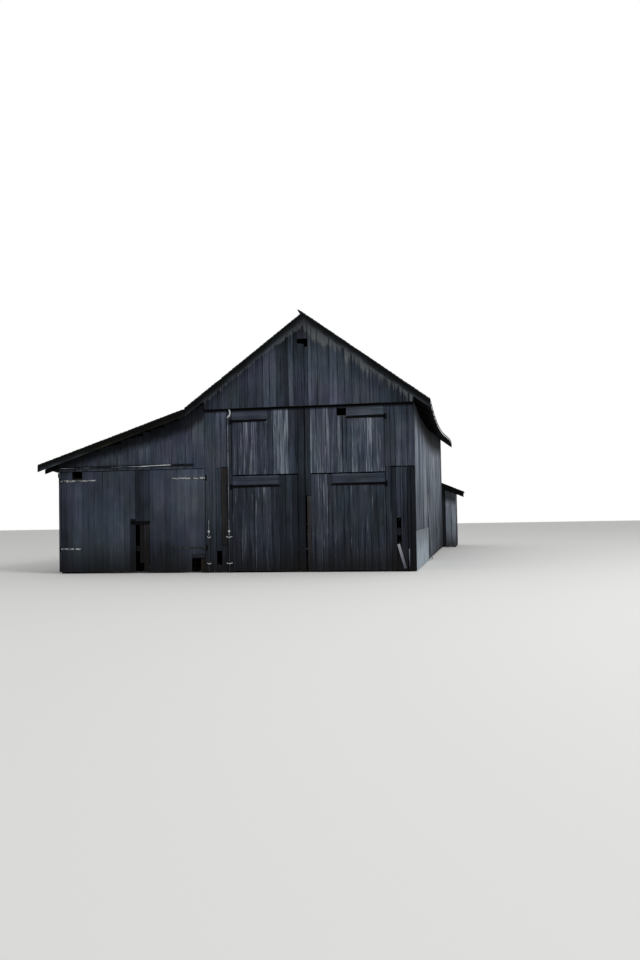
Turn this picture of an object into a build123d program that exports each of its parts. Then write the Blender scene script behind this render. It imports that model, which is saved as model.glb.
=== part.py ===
"""Old timber barn: a gabled main barn with a lean-to under a lower roof along its left side, two pairs
of strap-hinged doors in the front and a small open shed behind. Millimetres, +Z up. The front faces
-Y, and the origin is on the ground at the middle of the whole building."""
import os
from math import atan, cos, degrees, radians, tan

from build123d import *

# Main barn: its eaves stand a set height over the door head, and the pitch gives the ridge
main_width = 5920
main_depth = 16570
door_head = 4600
roof_over_doors = 396
main_pitch = 36.3
eave_overhang = 480
rake_overhang = 350
comb_reach = 120

# Swayback of the roofs, measured along the barn from its front wall
sway_drop = 280
sway_place = 6200
sway_end = 12500
rear_rise = 120

# Lean-to along the left side: its roof falls from the main eave to a set height over its doors
lean_width = 4430
lean_overhang = 480
lean_step = 17
lean_door_head = 2950
lean_roof_over_doors = 377

# Boards and timbers
board = 25
gable_stand_off = 15
gable_lift = 10
timber = 150
girt_depth = 50
girt_height = 100
girt_low = 200
girt_middle = 1600
girt_high = 3000
rafter_width = 50
rafter_set_back = 45
lean_rafter_gap = 10
main_rafter_depth = 150
lean_rafter_depth = 120
ridge_board_width = 38
ridge_board_depth = 200
sheathing_depth = 25
shingle_depth = 40
barge_width = 170
beam_height = 140
ledger_depth = 50
tie_gap = 60
tie_height = 200
stud_width = 100
stud_depth = 50
brace_reach = 700
brace_rise = 140
brace_depth = 100
ground_gap = 30
joint = 2
bays = 6
rafter_gaps = 20

# Door leaves: panels beside the doors, meeting edges, gaps, laps and ledges
left_panel = 790
right_panel = 800
main_meeting = 3030
lean_jamb = 80
lean_meeting = 2350
leaf_gap = 12
post_lap = 40
ledge_depth = 30
ledge_height = 150
leaf_foot = 40
main_hinge_high = 4240
main_hinge_low = 2400
main_foot_ledge = 350
lean_hinge_high = 2680
lean_hinge_low = 710
lean_middle_ledge = 1650

# Broken holes in the gable, the panels and the leaves
owl_hole_in = 3050
owl_hole_down = 815
owl_hole_width = 300
owl_hole_height = 130
owl_notch = 100
panel_hole_in = 460
panel_hole_width = 120
panel_hole_high = 1320
panel_hole_tall = 285
panel_hole_low = 895
panel_hole_short = 190
slot_in = 325
slot_width = 145
slot_level = 220
slot_height = 390
leaf_hole_in = 1990
leaf_hole_down = 200
leaf_hole_width = 260
leaf_hole_height = 200
lean_hole_in = 328
lean_hole_width = 310
lean_hole_height = 235
meeting_slot_width = 115
meeting_slot_top = 1380
meeting_break_width = 240
meeting_break_top = 280
cat_hole_width = 410
cat_hole_height = 420

# Strap hinges and their pintles
strap_main_high = 1000
strap_main_low = 1360
strap_right_high = 1050
strap_right_low = 1500
strap_lean_high = 1070
strap_lean_low = 600
strap_lean_right = 950
strap_depth = 8
strap_root = 56
strap_tip = 34
eye_radius = 13
pin_radius = 8
eye_play = 1
pin_stand_off = 16
plate_width = 45
plate_height = 150
plate_depth = 6
arm_gap = 5
arm_height = 12
arm_reach = 20
arm_boss = 2

# Drip board, latch bar, service pipes
drip_height = 60
drip_depth = 30
drip_over_doors = 80
drip_short = 330
latch_height = 60
latch_length = 418
latch_level = 1450
pipe_radius = 12.5
pipe_stand_off = 20
pipe_inset = 100
tall_pipe = 4410
short_pipe = 1470
clip_low = 250
clip_middle = 970
clip_high = 1160
clip_width = 60
clip_height = 40

# Right wall: two sheets at its foot, and past them a board sprung off below its top nails
patch_depth = 4
patch_width = 2830
patch_height = 1060
patches = 2
sprung_gap = 18
sprung_width = 220
sprung_top = 2200
sprung_angle = 2.9

# Small shed against the rear wall
shed_width = 2400
shed_depth = 2400
shed_reach = 600
shed_eave_height = 2510
shed_eave_overhang = 370
shed_pitch = 22.9
shed_left_overhang = 200
shed_rear_overhang = 150
shed_timber = 100
shed_roof_depth = 90

# Slopes, with the lean-to's worked out from the two heights that it runs between
main_slope = tan(radians(main_pitch))
shed_slope = tan(radians(shed_pitch))
ridge_height = door_head + roof_over_doors + main_width / 2 * main_slope
lean_top_height = door_head + roof_over_doors - eave_overhang * main_slope - lean_step
lean_fall = lean_top_height - lean_door_head - lean_roof_over_doors
lean_slope = lean_fall / (lean_width - eave_overhang)
lean_pitch = degrees(atan(lean_slope))

# Lines across the building
span_x = lean_overhang + lean_width + main_width + shed_reach + shed_eave_overhang
x_lean = lean_overhang - span_x / 2
x_left = x_lean + lean_width
x_right = x_left + main_width
x_ridge = (x_left + x_right) / 2
x_left_eave = x_left - eave_overhang
x_right_eave = x_right + eave_overhang
x_lean_eave = x_lean - lean_overhang

# Lines along the building
span_y = rake_overhang + main_depth + shed_depth + shed_rear_overhang
y_front = rake_overhang - span_y / 2
y_rear = y_front + main_depth
y_front_rake = y_front - rake_overhang
y_rear_rake = y_rear + rake_overhang

# Side walls: boards on girts on posts
set_back = board + girt_depth
first_post = y_front + board + timber / 2
last_post = y_rear - set_back - timber / 2
post_lines = [first_post + i * (last_post - first_post) / bays for i in range(bays + 1)]
lean_rafter_shift = rafter_width + lean_rafter_gap
first_rafter = y_front + rafter_set_back + rafter_width / 2
last_rafter = y_rear - board - rafter_width / 2 - lean_rafter_shift
rafter_step = (last_rafter - first_rafter) / rafter_gaps
rafter_lines = [first_rafter + i * rafter_step for i in range(rafter_gaps + 1)]
whole_line = [(y_front_rake + y_rear_rake) / 2]
whole_length = y_rear_rake - y_front_rake

# Depths below the shingles' top face
under_shingles = shingle_depth
under_sheathing = under_shingles + sheathing_depth
under_main_rafters = under_sheathing + main_rafter_depth
under_lean_rafters = under_sheathing + lean_rafter_depth


def main_top(x, below=0):
    """Height of the main roof over x at the front edge, at a depth square to the slope."""
    return ridge_height - abs(x - x_ridge) * main_slope - below / cos(radians(main_pitch))


def lean_top(x, below=0):
    """Height of the lean-to roof over x at the front edge, at a depth square to the slope."""
    return lean_top_height - (x_left_eave - x) * lean_slope - below / cos(radians(lean_pitch))


def shed_top(x, below=0):
    """Height of the shed roof over x."""
    eave = x_right + shed_reach + shed_eave_overhang
    return shed_eave_height + (eave - x) * shed_slope - below / cos(radians(shed_pitch))


def span(a0, a1, b0, b1, mode=Mode.ADD):
    """Rectangle of a sketch between two lines each way."""
    with Locations(((a0 + a1) / 2, (b0 + b1) / 2)):
        Rectangle(a1 - a0, b1 - b0, mode=mode)


def sway_strip(high, low):
    """Side view of a layer that follows the swayback, between two heights at the front edge."""
    drops = [(y_front_rake, 0), (y_front + sway_place, -sway_drop)]
    drops += [(y_front + sway_end, 0), (y_rear_rake, rear_rise)]
    with BuildSketch(mode=Mode.PRIVATE) as strip:
        with BuildLine():
            top = Spline(*[(y, high + drop) for y, drop in drops])
            bottom = Spline(*[(y, low + drop) for y, drop in drops])
            Line(top @ 0, bottom @ 0)
            Line(top @ 1, bottom @ 1)
        make_face()
    return strip.sketch


def slope_layer(x0, x1, high, low, slope, lines, width):
    """Part of a sloping layer from x0 down to x1, as wide strips centred on lines along the barn."""
    side = 1 if x1 > x0 else -1
    with BuildSketch(Plane.YZ.offset(x0)) as strips:
        for y in lines:
            span(y - width / 2, y + width / 2, low - ridge_height, high + ridge_height)
        add(sway_strip(high, low), mode=Mode.INTERSECT)
    run = Vector(side, 0, -slope)
    extrude(strips.sketch, amount=abs(x1 - x0) * run.length, dir=run.normalized())


def main_layer(x0, x1, top, bottom, lines, width):
    slope_layer(x0, x1, main_line(x0, x1, top), main_line(x0, x1, bottom), main_slope, lines, width)


def main_line(x0, x1, below):
    """Height at x0 of a main slope that runs on past the ridge when x0 lies beyond it."""
    past = (x_ridge - x0) * (1 if x1 > x0 else -1)
    return main_top(x_ridge, below) + past * main_slope


def lean_layer(x0, x1, top, bottom, lines, width):
    slope_layer(x0, x1, lean_top(x0, top), lean_top(x0, bottom), lean_slope, lines, width)


def under_roofs(top_main, top_lean):
    """Room under the roofs, below a depth square to each slope."""
    deep = ridge_height + sway_drop
    with BuildPart(mode=Mode.PRIVATE) as room:
        main_layer(x_ridge, x_right_eave, top_main, deep, whole_line, whole_length)
        main_layer(x_ridge, x_left_eave, top_main, deep, whole_line, whole_length)
        lean_layer(x_left_eave, x_lean_eave, top_lean, deep, whole_line, whole_length)
    return room.part


under_boards = under_roofs(under_sheathing, under_sheathing)
under_rafters = under_roofs(under_main_rafters, under_lean_rafters)

os.makedirs("parts", exist_ok=True)


def keep(piece, name):
    piece.part.label = name
    export_step(piece.part, f"parts/{name}.step")


# Roof coverings: shingles over sheathing boards; the right slope runs past the ridge as a comb
inner_length = whole_length - 2 * board
comb_joint = shingle_depth / cos(radians(main_pitch)) / main_slope / 2

with BuildPart() as main_shingles_right:
    main_layer(x_ridge - comb_reach, x_right_eave, 0, under_shingles, whole_line, whole_length)
keep(main_shingles_right, "main_shingles_right")

with BuildPart() as main_shingles_left:
    main_layer(x_ridge - comb_joint, x_left_eave, 0, under_shingles, whole_line, whole_length)
keep(main_shingles_left, "main_shingles_left")

with BuildPart() as lean_shingles:
    lean_layer(x_left_eave, x_lean_eave, 0, under_shingles, whole_line, whole_length)
keep(lean_shingles, "lean_shingles")

with BuildPart() as main_sheathing:
    for eave, side in ((x_right_eave, 1), (x_left_eave, -1)):
        main_layer(x_ridge + side * joint / 2, eave, under_shingles, under_sheathing,
                   whole_line, inner_length)
keep(main_sheathing, "main_sheathing")

with BuildPart() as lean_sheathing:
    lean_layer(x_left_eave, x_lean_eave, under_shingles, under_sheathing, whole_line, inner_length)
keep(lean_sheathing, "lean_sheathing")

# Barge boards over the ends of the sheathing
barge_lines = [y_front_rake + board / 2, y_rear_rake - board / 2]
with BuildPart() as barge_boards:
    for eave, side in ((x_right_eave, 1), (x_left_eave + joint, -1)):
        main_layer(x_ridge + side * joint, eave, under_shingles, under_shingles + barge_width,
                   barge_lines, board)
    lean_layer(x_left_eave, x_lean_eave, under_shingles, under_shingles + barge_width,
               barge_lines, board)
keep(barge_boards, "barge_boards")

# Rafters: the main pairs meet on a ridge board; the lean-to's lie beside them on a ledger
beam_front = y_front - gable_stand_off
lean_rafter_lines = [y + lean_rafter_shift for y in rafter_lines]
with BuildPart() as main_rafters:
    for eave, side in ((x_right_eave, 1), (x_left_eave, -1)):
        main_layer(x_ridge + side * ridge_board_width / 2, eave, under_sheathing,
                   under_main_rafters, rafter_lines, rafter_width)
keep(main_rafters, "main_rafters")

with BuildPart() as lean_rafters:
    lean_layer(x_left, x_lean_eave, under_sheathing, under_lean_rafters, lean_rafter_lines, rafter_width)
keep(lean_rafters, "lean_rafters")

with BuildPart() as ridge_board:
    with BuildSketch(Plane.YZ.offset(x_ridge - ridge_board_width / 2)):
        ridge_top = main_top(x_ridge + ridge_board_width / 2, under_sheathing)
        span(beam_front, y_rear - board, 0, 2 * ridge_height)
        add(sway_strip(ridge_top, ridge_top - ridge_board_depth), mode=Mode.INTERSECT)
    extrude(amount=ridge_board_width)
keep(ridge_board, "ridge_board")

# Plates on the posts, bevelled under the rafters, and the lean-to's ledger
plate_bottom = main_top(x_right - set_back, under_main_rafters) - timber
lean_plate_bottom = lean_top(x_lean + set_back, under_lean_rafters) - timber
beam_inner = y_front + board + timber
rear_beam_inner = y_rear - set_back - timber
rear_head = door_head + rear_rise


def long_timber(x0, x1, bottom, y0, y1, height=timber):
    """Timber along the barn that follows the swayback, bevelled under the rafters."""
    with BuildSketch(Plane.YZ.offset(x0)) as strips:
        span(y0, y1, 0, ridge_height)
        add(sway_strip(bottom + 2 * height, bottom), mode=Mode.INTERSECT)
    extrude(strips.sketch, amount=x1 - x0)


with BuildPart() as wall_plates:
    long_timber(x_right - set_back - timber, x_right - set_back, plate_bottom, beam_inner, rear_beam_inner)
    long_timber(x_left, x_left + timber, plate_bottom, beam_inner, rear_beam_inner)
    long_timber(x_lean + set_back, x_lean + set_back + timber, lean_plate_bottom, beam_inner,
                y_rear - board)
    add(under_rafters, mode=Mode.INTERSECT)
keep(wall_plates, "wall_plates")

ledger_middle = (beam_inner + y_rear - board) / 2
with BuildPart() as lean_ledger:
    lean_layer(x_left, x_left - ledger_depth, under_lean_rafters, under_lean_rafters + timber,
               [ledger_middle], y_rear - board - beam_inner)
keep(lean_ledger, "lean_ledger")

# Beams across the barn: over the front doors, at the rear and between the posts
tie_top = plate_bottom - sway_drop - tie_gap
with BuildPart() as tie_beams:
    with BuildSketch(Plane.XZ.offset(-beam_front)):
        span(x_left, x_right - board, door_head, door_head + beam_height)
    extrude(amount=-(beam_inner - beam_front))
    with BuildSketch(Plane.XZ.offset(-rear_beam_inner)):
        span(x_left, x_right - board, rear_head, rear_head + beam_height)
    extrude(amount=-(y_rear - board - rear_beam_inner))
    for y in post_lines[1:-1]:
        with BuildSketch(Plane.XZ.offset(-(y - timber / 2))):
            span(x_left + timber, x_right - set_back - timber, tie_top - tie_height, tie_top)
        extrude(amount=-timber)
    add(under_rafters, mode=Mode.INTERSECT)
keep(tie_beams, "tie_beams")

with BuildPart() as lean_header:
    with BuildSketch(Plane.XZ.offset(-(y_front + board))):
        span(x_lean + set_back, x_left, lean_door_head, lean_door_head + beam_height)
    extrude(amount=-timber)
keep(lean_header, "lean_header")

# Posts: side rows cut to the plates, and door posts on the ground
sill_height = timber


def post_row(x0, bottom, top, lines):
    """Row of posts from a sill or the ground up to a line that follows the swayback."""
    with BuildSketch(Plane.YZ.offset(x0)) as strips:
        for y in lines:
            span(y - timber / 2, y + timber / 2, bottom, ridge_height)
        add(sway_strip(top, -ridge_height), mode=Mode.INTERSECT)
    extrude(strips.sketch, amount=timber)


def end_post(x0, y0, bottom, top):
    """Square post standing under a level beam."""
    with BuildSketch(Plane.XY.offset(bottom)) as foot:
        span(x0, x0 + timber, y0, y0 + timber)
    extrude(foot.sketch, amount=top - bottom)


x_right_posts = x_right - set_back - timber
x_lean_posts = x_lean + set_back
x_left_jamb = x_left + left_panel
x_right_jamb = x_right - right_panel
y_end_posts = (y_front + board, rear_beam_inner)
with BuildPart() as right_posts:
    post_row(x_right_posts, sill_height, plate_bottom, post_lines[1:-1])
    end_post(x_right_posts, y_end_posts[0], 0, door_head)
    end_post(x_right_posts, y_end_posts[1], sill_height, rear_head)
keep(right_posts, "right_posts")

with BuildPart() as arcade_posts:
    post_row(x_left, 0, plate_bottom, post_lines[1:-1])
    end_post(x_left, y_end_posts[0], 0, door_head)
    end_post(x_left, y_end_posts[1], 0, rear_head)
keep(arcade_posts, "arcade_posts")

with BuildPart() as lean_posts:
    post_row(x_lean_posts, sill_height, lean_plate_bottom, post_lines[1:])
    end_post(x_lean_posts, y_end_posts[0], 0, lean_door_head)
keep(lean_posts, "lean_posts")

with BuildPart() as door_posts:
    end_post(x_left_jamb + post_lap - timber, y_end_posts[0], 0, door_head)
    end_post(x_right_jamb - post_lap, y_end_posts[0], 0, door_head)
    end_post(x_left - timber, y_end_posts[0], 0, lean_door_head)
keep(door_posts, "door_posts")

with BuildPart() as rear_posts:
    for third in (1, 2):
        end_post(x_left + third * (x_right_posts - x_left) / 3, rear_beam_inner, sill_height, rear_head)
keep(rear_posts, "rear_posts")

# Sills on the ground under the side and rear posts
with BuildPart() as sills:
    with BuildSketch():
        span(x_right_posts, x_right_posts + timber, y_front + board + timber, y_rear - set_back)
        span(x_lean_posts, x_lean_posts + timber, y_front + board + timber, y_rear - set_back)
        span(x_left + timber, x_right_posts - joint, rear_beam_inner, y_rear - set_back)
    extrude(amount=sill_height)
keep(sills, "sills")

# Girts behind the wall boards
girt_levels = (girt_low, girt_middle, girt_high)
with BuildPart() as wall_girts:
    with BuildSketch(Plane.YZ.offset(x_right - set_back)):
        for z in girt_levels:
            span(y_front + board, y_rear - board, z, z + girt_height)
    extrude(amount=girt_depth)
    with BuildSketch(Plane.YZ.offset(x_lean + board)):
        for z in girt_levels[:2]:
            span(y_front + board, y_rear - board, z, z + girt_height)
    extrude(amount=girt_depth)
    with BuildSketch(Plane.XZ.offset(-(y_rear - set_back))):
        for z in girt_levels:
            span(x_left + joint, x_right - set_back - joint, z, z + girt_height)
        for z in girt_levels[:2]:
            span(x_lean + set_back + joint, x_left - joint, z, z + girt_height)
    extrude(amount=-girt_depth)
keep(wall_girts, "wall_girts")

# Knee braces from the posts up to the beams
tie_bottom = tie_top - tie_height
with BuildPart() as knee_braces:
    for y in post_lines[1:-1]:
        with BuildSketch(Plane.XZ.offset(-(y - brace_depth / 2))):
            for x, side in ((x_left + timber, 1), (x_right_posts, -1)):
                with BuildLine():
                    Polyline((x, tie_bottom - brace_reach), (x, tie_bottom - brace_reach + brace_rise),
                             (x + side * (brace_reach - brace_rise), tie_bottom),
                             (x + side * brace_reach, tie_bottom), close=True)
                make_face()
        extrude(amount=-brace_depth)
keep(knee_braces, "knee_braces")

# Studs that carry the gable boards above the end beams
stud_places = (-1.5, -0.5, 0.5, 1.5)
stud_spacing = main_width / 6
with BuildPart() as gable_studs:
    for y, foot in ((beam_front, door_head), (y_rear - board - stud_depth, rear_head)):
        with BuildSketch(Plane.XZ.offset(-y)):
            for i in stud_places:
                x = x_ridge + i * stud_spacing
                span(x - stud_width / 2, x + stud_width / 2, foot + beam_height, 2 * ridge_height)
        extrude(amount=-stud_depth)
    add(under_boards, mode=Mode.INTERSECT)
keep(gable_studs, "gable_studs")

# Gable boards, standing proud of the boards below, with the broken owl hole
gable_foot = door_head + gable_lift
hole_x = x_right - owl_hole_in
hole_z = ridge_height - owl_hole_down
hole_end = hole_x + owl_hole_width / 2
with BuildPart() as front_gable:
    with BuildSketch(Plane.XZ.offset(-(beam_front - board))):
        span(x_left, x_right, gable_foot, 2 * ridge_height)
        span(hole_end - owl_hole_width, hole_end, hole_z, hole_z + owl_hole_height, mode=Mode.SUBTRACT)
        span(hole_end - owl_notch, hole_end, hole_z - owl_notch, hole_z + joint, mode=Mode.SUBTRACT)
    extrude(amount=-board)
    add(under_boards, mode=Mode.INTERSECT)
keep(front_gable, "front_gable")

# Front wall panels beside the doors, both with broken boards
with BuildPart() as front_panel_left:
    with BuildSketch(Plane.XZ.offset(-y_front)):
        span(x_left, x_left_jamb, ground_gap, door_head)
        slot_start = x_left + slot_in
        span(slot_start, slot_start + slot_width, slot_level, slot_level + slot_height, mode=Mode.SUBTRACT)
    extrude(amount=-board)
keep(front_panel_left, "front_panel_left")

with BuildPart() as front_panel_right:
    with BuildSketch(Plane.XZ.offset(-y_front)):
        span(x_right_jamb, x_right, ground_gap, door_head)
        for z, height in ((panel_hole_high, panel_hole_tall), (panel_hole_low, panel_hole_short)):
            with Locations((x_right - panel_hole_in, z)):
                Rectangle(panel_hole_width, height, mode=Mode.SUBTRACT)
    extrude(amount=-board)
keep(front_panel_right, "front_panel_right")

# Side and rear walls of vertical boards, up to the rafters or the sheathing
patch_end = y_front + board + patches * (patch_width + joint)
sprung_start = patch_end + sprung_gap
with BuildPart() as right_wall:
    right_wall_top = main_top(x_right, under_main_rafters)
    with BuildSketch(Plane.YZ.offset(x_right - board)):
        span(y_front + board, y_rear - board, ground_gap, 2 * ridge_height)
        span(sprung_start, sprung_start + sprung_width, 0, sprung_top, mode=Mode.SUBTRACT)
        add(sway_strip(right_wall_top, -ridge_height), mode=Mode.INTERSECT)
    extrude(amount=board)
    with BuildPart(mode=Mode.PRIVATE) as sprung_board:
        with BuildSketch(Plane.YZ.offset(x_right - board)):
            span(sprung_start + joint, sprung_start + sprung_width - joint, ground_gap, sprung_top)
        extrude(amount=board)
    add(sprung_board.part.rotate(Axis((x_right, 0, sprung_top), (0, -1, 0)), sprung_angle))
keep(right_wall, "right_wall")

with BuildPart() as lean_left_wall:
    lean_wall_top = lean_top(x_lean, under_lean_rafters)
    with BuildSketch(Plane.YZ.offset(x_lean)):
        span(y_front + board, y_rear - board, ground_gap, 2 * ridge_height)
        add(sway_strip(lean_wall_top, -ridge_height), mode=Mode.INTERSECT)
    extrude(amount=board)
keep(lean_left_wall, "lean_left_wall")

with BuildPart() as rear_wall:
    with BuildSketch(Plane.XZ.offset(-(y_rear - board))):
        span(x_left, x_right, ground_gap, 2 * ridge_height)
    extrude(amount=-board)
    add(under_boards, mode=Mode.INTERSECT)
keep(rear_wall, "rear_wall")

with BuildPart() as lean_rear_wall:
    with BuildSketch(Plane.XZ.offset(-(y_rear - board))):
        span(x_lean, x_left, ground_gap, 2 * ridge_height)
    extrude(amount=-board)
    add(under_boards, mode=Mode.INTERSECT)
keep(lean_rear_wall, "lean_rear_wall")

with BuildPart() as lean_front_wall:
    with BuildSketch(Plane.XZ.offset(-y_front)):
        span(x_lean, x_left, lean_door_head, 2 * ridge_height)
    extrude(amount=-board)
    add(under_boards, mode=Mode.INTERSECT)
keep(lean_front_wall, "lean_front_wall")

with BuildPart() as corner_board:
    with BuildSketch(Plane.XZ.offset(-y_front)):
        span(x_lean, x_lean + lean_jamb, ground_gap, lean_door_head)
    extrude(amount=-board)
keep(corner_board, "corner_board")

# Drip board across the head of the lean-to doors
drip_foot = lean_door_head + drip_over_doors
with BuildPart() as drip_board:
    with BuildSketch(Plane.XZ.offset(-(y_front - drip_depth))):
        span(x_lean + lean_jamb, x_left - drip_short, drip_foot, drip_foot + drip_height)
    extrude(amount=-drip_depth)
keep(drip_board, "drip_board")

# Door leaves, each with its ledges inside and its straps outside
x_main_meeting = x_right - main_meeting
x_lean_meeting = x_lean + lean_meeting
main_ledges = (main_foot_ledge, main_hinge_low, main_hinge_high)
lean_ledges = (lean_hinge_low, lean_middle_ledge, lean_hinge_high)
leaves = {
    "main_left": dict(jamb=x_left_jamb, meet=x_main_meeting, side=1, head=door_head, post=post_lap,
                      straps=((main_hinge_high, strap_main_high), (main_hinge_low, strap_main_low)),
                      ledges=main_ledges),
    "main_right": dict(jamb=x_right_jamb, meet=x_main_meeting, side=-1, head=door_head, post=post_lap,
                       straps=((main_hinge_high, strap_right_high), (main_hinge_low, strap_right_low)),
                       ledges=main_ledges),
    "lean_left": dict(jamb=x_lean + lean_jamb, meet=x_lean_meeting, side=1, head=lean_door_head,
                      post=set_back + timber - lean_jamb,
                      straps=((lean_hinge_high, strap_lean_high), (lean_hinge_low, strap_lean_low)),
                      ledges=lean_ledges),
    "lean_right": dict(jamb=x_left, meet=x_lean_meeting, side=-1, head=lean_door_head, post=timber,
                       straps=((lean_hinge_high, strap_lean_right), (lean_hinge_low, strap_lean_right)),
                       ledges=lean_ledges),
}
y_axis = y_front - pin_stand_off


def leaf_cuts(name):
    """Broken and sawn openings of a leaf."""
    if name == "main_right":
        with Locations((x_right - leaf_hole_in, door_head - leaf_hole_down)):
            Rectangle(leaf_hole_width, leaf_hole_height, mode=Mode.SUBTRACT)
    if name == "lean_left":
        edge = x_lean + lean_jamb + leaf_gap + lean_hole_in
        span(edge, edge + lean_hole_width, lean_door_head - lean_hole_height, lean_door_head,
             mode=Mode.SUBTRACT)
    if name == "lean_right":
        span(x_left - cat_hole_width, x_left, 0, cat_hole_height, mode=Mode.SUBTRACT)
        edge = x_lean_meeting + leaf_gap / 2
        span(x_lean_meeting, edge + meeting_slot_width, 0, meeting_slot_top, mode=Mode.SUBTRACT)
        span(x_lean_meeting, edge + meeting_break_width, 0, meeting_break_top, mode=Mode.SUBTRACT)


for name, leaf in leaves.items():
    side = leaf["side"]
    hinge_edge = leaf["jamb"] + side * leaf_gap
    meeting_edge = leaf["meet"] - side * leaf_gap / 2
    inner_start = leaf["jamb"] + side * (leaf["post"] + leaf_gap)
    inner_end = meeting_edge - side * leaf_gap
    x_axis = leaf["jamb"] + side * leaf_gap / 2

    with BuildPart() as leaf_boards:
        with BuildSketch(Plane.XZ.offset(-y_front)):
            span(min(hinge_edge, meeting_edge), max(hinge_edge, meeting_edge), leaf_foot,
                 leaf["head"] - leaf_gap)
            leaf_cuts(name)
        extrude(amount=-board)
    keep(leaf_boards, f"{name}_leaf")

    with BuildPart() as leaf_ledges:
        with BuildSketch(Plane.XZ.offset(-(y_front + board))):
            for z in leaf["ledges"]:
                span(min(inner_start, inner_end), max(inner_start, inner_end), z - ledge_height / 2,
                     z + ledge_height / 2)
        extrude(amount=-ledge_depth)
    keep(leaf_ledges, f"{name}_ledges")

    with BuildPart() as leaf_straps:
        for z, length in leaf["straps"]:
            with BuildSketch(Plane.XZ.offset(-(y_front - strap_depth))):
                with BuildLine():
                    Polyline((x_axis, z - strap_root / 2), (x_axis, z + strap_root / 2),
                             (x_axis + side * length, z + strap_tip / 2),
                             (x_axis + side * length, z - strap_tip / 2), close=True)
                make_face()
                with Locations((x_axis + side * length, z)):
                    Circle(strap_tip / 2)
            extrude(amount=-strap_depth)
            with BuildSketch(Plane.XY.offset(z - strap_root / 2)):
                with Locations((x_axis, y_axis)):
                    Circle(eye_radius)
            extrude(amount=strap_root)
            with BuildSketch(Plane.XY.offset(z - strap_root / 2)):
                with Locations((x_axis, y_axis)):
                    Circle(pin_radius + eye_play)
            extrude(amount=strap_root, mode=Mode.SUBTRACT)
    keep(leaf_straps, f"{name}_straps")

# Pintles on the jambs: a plate, an arm below each eye and the pin through it
with BuildPart() as pintles:
    for leaf in leaves.values():
        side = leaf["side"]
        x_axis = leaf["jamb"] + side * leaf_gap / 2
        for z, length in leaf["straps"]:
            plate_near = x_axis - side * (eye_radius + eye_play)
            plate_far = plate_near - side * plate_width
            arm_top = z - strap_root / 2 - arm_gap
            with BuildSketch(Plane.XZ.offset(-(y_front - plate_depth))):
                span(min(plate_near, plate_far), max(plate_near, plate_far), z - plate_height / 2,
                     z + plate_height / 2)
            extrude(amount=-plate_depth)
            with BuildSketch(Plane.XY.offset(arm_top - arm_height)):
                arm_end = x_axis - side * arm_reach
                span(min(arm_end, x_axis), max(arm_end, x_axis), y_axis - eye_radius / 2, y_front)
                with Locations((x_axis, y_axis)):
                    Circle(pin_radius + arm_boss)
            extrude(amount=arm_height)
            with BuildSketch(Plane.XY.offset(arm_top)):
                with Locations((x_axis, y_axis)):
                    Circle(pin_radius)
            extrude(amount=strap_root + 2 * arm_gap)
keep(pintles, "pintles")

# Latch bar on the lean-to's right leaf
latch_start = x_lean_meeting + leaf_gap
latch_foot = latch_level - latch_height / 2
with BuildPart() as latch_bar:
    with BuildSketch(Plane.XZ.offset(-(y_front - drip_depth))):
        span(latch_start, latch_start + latch_length, latch_foot, latch_foot + latch_height)
    extrude(amount=-drip_depth)
keep(latch_bar, "latch_bar")

# Service pipes clipped to the left front panel
with BuildPart() as service_pipes:
    for x, length in ((x_left_jamb - pipe_inset, tall_pipe), (x_left + pipe_inset, short_pipe)):
        with BuildSketch(Plane.XY.offset(ground_gap)):
            with Locations((x, y_front - pipe_stand_off)):
                Circle(pipe_radius)
        extrude(amount=length)
        with BuildSketch(Plane.XZ.offset(-(y_front - pipe_stand_off))):
            for z in (clip_low, clip_middle, clip_high):
                span(x - clip_width / 2, x + clip_width / 2, z - clip_height / 2, z + clip_height / 2)
        extrude(amount=-pipe_stand_off)
keep(service_pipes, "service_pipes")

# Sheets covering the foot of the right wall from the corner
with BuildPart() as patch_sheet:
    with BuildSketch(Plane.YZ.offset(x_right)):
        for i in range(patches):
            near = y_front + board + i * (patch_width + joint)
            span(near, near + patch_width, ground_gap, ground_gap + patch_height)
    extrude(amount=patch_depth)
keep(patch_sheet, "patch_sheet")

# Shed: roof, walls on three sides and a frame of four posts with beams
shed_left = x_right + shed_reach - shed_width
shed_right = x_right + shed_reach
shed_rear = y_rear + shed_depth
with BuildPart() as shed_roof:
    with BuildSketch(Plane.XZ.offset(-y_rear)):
        roof_left = shed_left - shed_left_overhang
        roof_right = shed_right + shed_eave_overhang
        with BuildLine():
            Polyline((roof_left, shed_top(roof_left)), (roof_right, shed_top(roof_right)),
                     (roof_right, shed_top(roof_right, shed_roof_depth)),
                     (roof_left, shed_top(roof_left, shed_roof_depth)), close=True)
        make_face()
    extrude(amount=-(shed_depth + shed_rear_overhang))
keep(shed_roof, "shed_roof")


def shed_end(x0, x1):
    """Outline of a shed wall that runs up to the slope of its roof."""
    with BuildLine() as outline:
        Polyline((x0, ground_gap), (x0, shed_top(x0, shed_roof_depth)),
                 (x1, shed_top(x1, shed_roof_depth)), (x1, ground_gap), close=True)
    make_face(outline.edges())


with BuildPart() as shed_walls:
    with BuildSketch(Plane.XZ.offset(-y_rear)):
        shed_end(x_right + joint, shed_right)
    extrude(amount=-board)
    with BuildSketch(Plane.XZ.offset(-(shed_rear - board))):
        shed_end(shed_left, shed_right)
    extrude(amount=-board)
    with BuildSketch(Plane.YZ.offset(shed_right - board)):
        span(y_rear + board + joint, shed_rear - board - joint, ground_gap,
             shed_top(shed_right, shed_roof_depth))
    extrude(amount=board)
keep(shed_walls, "shed_walls")

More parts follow.
